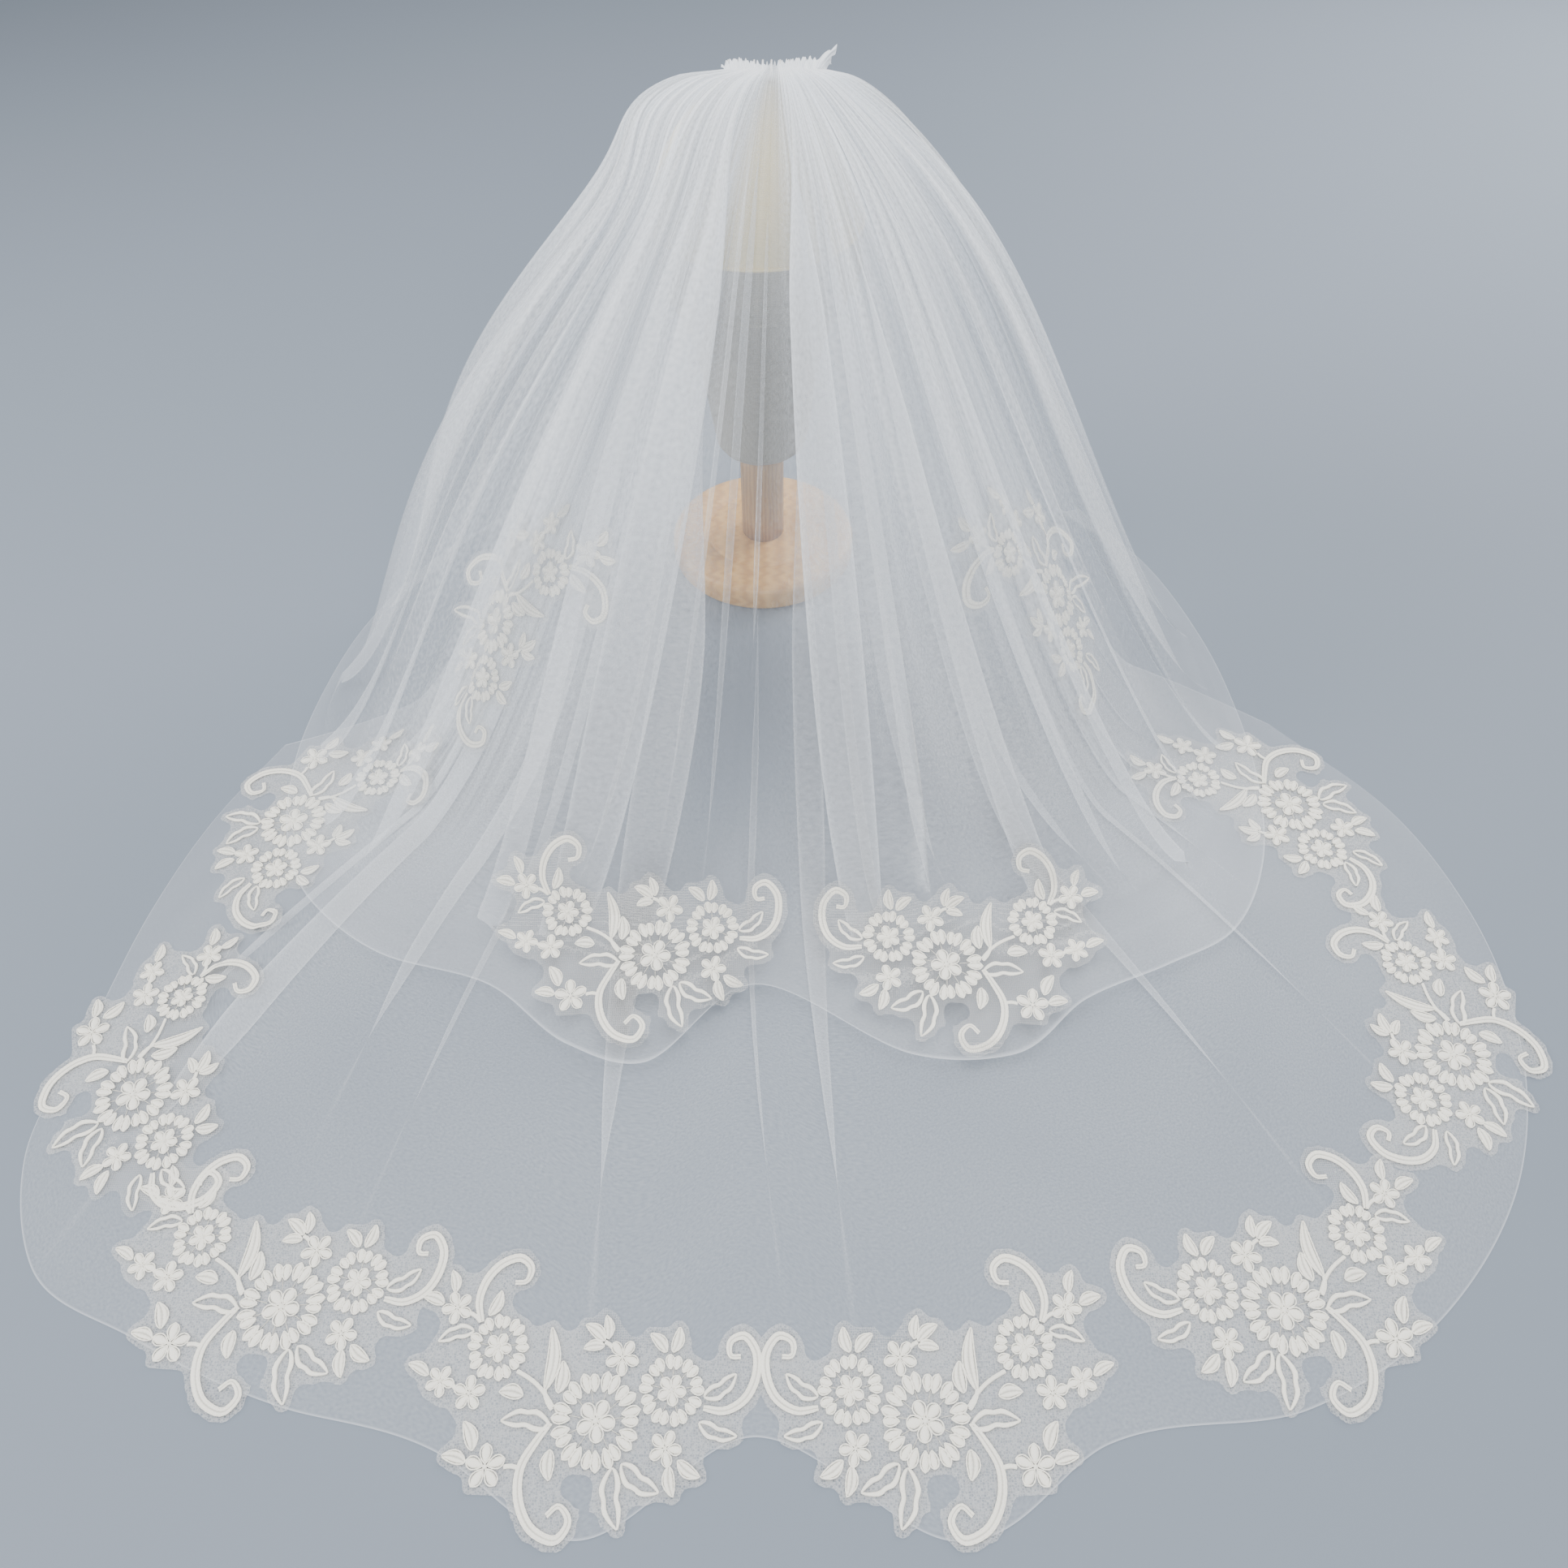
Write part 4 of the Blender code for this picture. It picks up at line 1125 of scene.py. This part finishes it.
def lace_thread():
    """Mercerised cotton and rayon thread: ivory white, with its fibres as fine lines and a soft shine, and with
    painted shade that darkens it where the stitches sit low.
    """
    material, shader = shader_of("lace_thread", LACE_IVORY, 0.55)
    shader.inputs["Sheen Weight"].default_value = 0.3
    shader.inputs["Sheen Roughness"].default_value = 0.4
    where = own_place(material)
    fibre = noise(material, 900.0, 2.0, where)
    tone = noise(material, 60.0, 2.0, where)
    # Painted shade: the stitch height darkens the thread where it sits low on the net, between petals and along
    # their edges, mixed with the fibres' random tone.
    height = stored_value(material, "stitch_height")
    depth = mixed(material, 0.72, mixed(material, 0.5, fibre, tone), height)
    # The deep and half-shade colours below are painted shade for the low stitches.
    deep = tuple(c * 0.45 for c in LACE_IVORY)
    shade = tuple(c * 0.8 for c in LACE_IVORY)
    tint = colour_steps(material, depth, ((0.22, deep), (0.45, shade), (0.62, LACE_IVORY)))
    material.node_tree.links.new(tint, shader.inputs["Base Color"])
    relief(material, shader, fibre, 0.35, 0.0003)
    return material


def lace_net():
    """The net under a spray, closer than the tulle."""
    material, shader = shader_of("lace_net", (0.84, 0.84, 0.82), 0.7)
    mesh = place_node(
        material,
        "ShaderNodeTexVoronoi",
        {"Vector": own_place(material), "Scale": 700.0, "Randomness": 0.35},
        feature="DISTANCE_TO_EDGE",
    )
    threads = place_node(
        material,
        "ShaderNodeMapRange",
        {"Value": mesh.outputs["Distance"], "From Min": 0.02, "From Max": 0.2, "To Min": 0.36, "To Max": 0.06},
    )
    material.node_tree.links.new(threads.outputs[0], shader.inputs["Alpha"])
    return material


SPRAY_COLUMNS = ("name", "tier", "x", "y", "turn", "hand", "slope", "facing")
SPRAYS = (
    ("lace_floor_1", "lower", -390, -343, -114, -1, 0, 0),
    ("lace_floor_2", "lower", -440, -582, -68, -1, 0, 0),
    ("lace_floor_3", "lower", -298, -722, -4, -1, 0, 0),
    ("lace_floor_4", "lower", -92, -786, -2, -1, 0, 0),
    ("lace_floor_5", "lower", 106, -786, 2, 1, 0, 0),
    ("lace_floor_6", "lower", 338, -724, 8, 1, 0, 0),
    ("lace_floor_7", "lower", 507, -552, 67, 1, 0, 0),
    ("lace_floor_8", "lower", 449, -326, 130, 1, 0, 0),
    ("lace_side_left", "lower", -214, -221, -90, -1, 45, -47),
    ("lace_side_right", "lower", 250, -186, 90, 1, 45, 58),
    ("lace_upper_left", "upper", -76, -478, 4, -1, 25, 0),
    ("lace_upper_right", "upper", 143, -484, -4, 1, 25, 0),
)
LACE_GAP = 0.25
STITCH_TOP = 1.2
# Each spray is felt for from this high, at places this far apart on the floor and on a slope.
PROBE_HEIGHT = 200.0
REACH_ON_FLOOR = 6.0
REACH_ON_SLOPE = 12.0
flat_lace = work_spray()
flat_points = np.concatenate(flat_lace.points)
flat_faces = np.concatenate(flat_lace.faces)
net_points, net_faces = net_backing(flat_points, NET_PITCH)
thread = lace_thread()
net = lace_net()
trees = {}
for tier_name, tier_piece in (("lower", lower_tier), ("upper", upper_tier)):
    cloth = tier_piece.data
    trees[tier_name] = BVHTree.FromPolygons(
        [vertex.co.copy() for vertex in cloth.vertices], [tuple(face.vertices) for face in cloth.polygons]
    )
sewn_on = {"lower": [], "upper": []}
for row in SPRAYS:
    spray = dict(zip(SPRAY_COLUMNS, row))
    tree = trees[spray["tier"]]
    where = [spray[key] for key in ("x", "y", "turn", "hand", "slope", "facing")]
    place = lace_place(tree, *where)
    reach = REACH_ON_SLOPE if spray["slope"] else REACH_ON_FLOOR
    pieces = (("", flat_points, flat_faces, thread), ("_net", net_points, net_faces, net))
    for ending, points, faces, finish in pieces:
        laid = lay_lace(points, tree, place, reach, LACE_GAP)
        ordered = faces if spray["hand"] > 0 else faces[:, ::-1]
        piece = piece_from(spray["name"] + "_motif" + ending, laid, ordered.tolist())
        height = piece.data.attributes.new("stitch_height", "FLOAT", "POINT")
        height.data.foreach_set("value", (points[:, 2] / STITCH_TOP).astype(np.float32))
        nodes = [] if ending else [spray["name"]]
        keep_piece(piece, finish, "lace", *nodes)
        sewn_on[spray["tier"]].append(piece)


# The room is a plain pale floor under soft studio light: one large lamp overhead and weaker ones from the
# front, the left and behind on the right. The camera looks down at the veil from the front.
FLOOR_SIZE = 30.0
FLOOR_GREY = (0.20, 0.235, 0.285)
CAMERA_PLACE = (0.021, -0.898, 0.775)
CAMERA_TILT = 37.5
LENS = 26.09
floor_data = bpy.data.meshes.new("floor")
half = FLOOR_SIZE / 2
floor_corners = [(-half, -half, 0), (half, -half, 0), (half, half, 0), (-half, half, 0)]
floor_data.from_pydata(floor_corners, [], [(0, 1, 2, 3)])
floor = bpy.data.objects.new("floor", floor_data)
bpy.context.scene.collection.objects.link(floor)
floor.location.z = -0.0005
paper, paper_shader = shader_of("pale_floor", FLOOR_GREY, 0.85)
speck = noise(paper, 30.0, 4.0)
tones = colour_steps(
    paper, speck, ((0.3, tuple(c * 0.97 for c in FLOOR_GREY)), (0.7, FLOOR_GREY))
)
paper.node_tree.links.new(tones, paper_shader.inputs["Base Color"])
floor_data.materials.append(paper)


def soft_lamp(name, place, size, power, aim):
    lamp = bpy.data.lights.new(name, "AREA")
    lamp.shape = "SQUARE"
    lamp.size = size
    lamp.energy = power
    made = bpy.data.objects.new(name, lamp)
    bpy.context.scene.collection.objects.link(made)
    made.location = place
    made.rotation_mode = "QUATERNION"
    made.rotation_quaternion = (Vector(aim) - Vector(place)).to_track_quat("-Z", "Y")


soft_lamp("overhead", (0.3, 0.4, 2.6), 2.0, 80, (0, -0.35, 0))
soft_lamp("front", (0.25, -2.6, 1.5), 1.6, 60, (0, -0.1, 0.25))
soft_lamp("left", (-2.2, -0.6, 1.3), 1.3, 60, (0, -0.35, 0.15))
soft_lamp("back_right", (1.9, 1.3, 1.2), 1.2, 55, (0, -0.3, 0.15))
world = bpy.data.worlds.new("studio")
world.use_nodes = True
world.node_tree.nodes["Background"].inputs["Color"].default_value = (0.80, 0.82, 0.86, 1)
world.node_tree.nodes["Background"].inputs["Strength"].default_value = 0.30
bpy.context.scene.world = world
camera_data = bpy.data.cameras.new("camera")
camera_data.lens = LENS
camera = bpy.data.objects.new("camera", camera_data)
bpy.context.scene.collection.objects.link(camera)
camera.location = CAMERA_PLACE
camera.rotation_euler = (math.radians(CAMERA_TILT), 0, 0)
bpy.context.scene.camera = camera
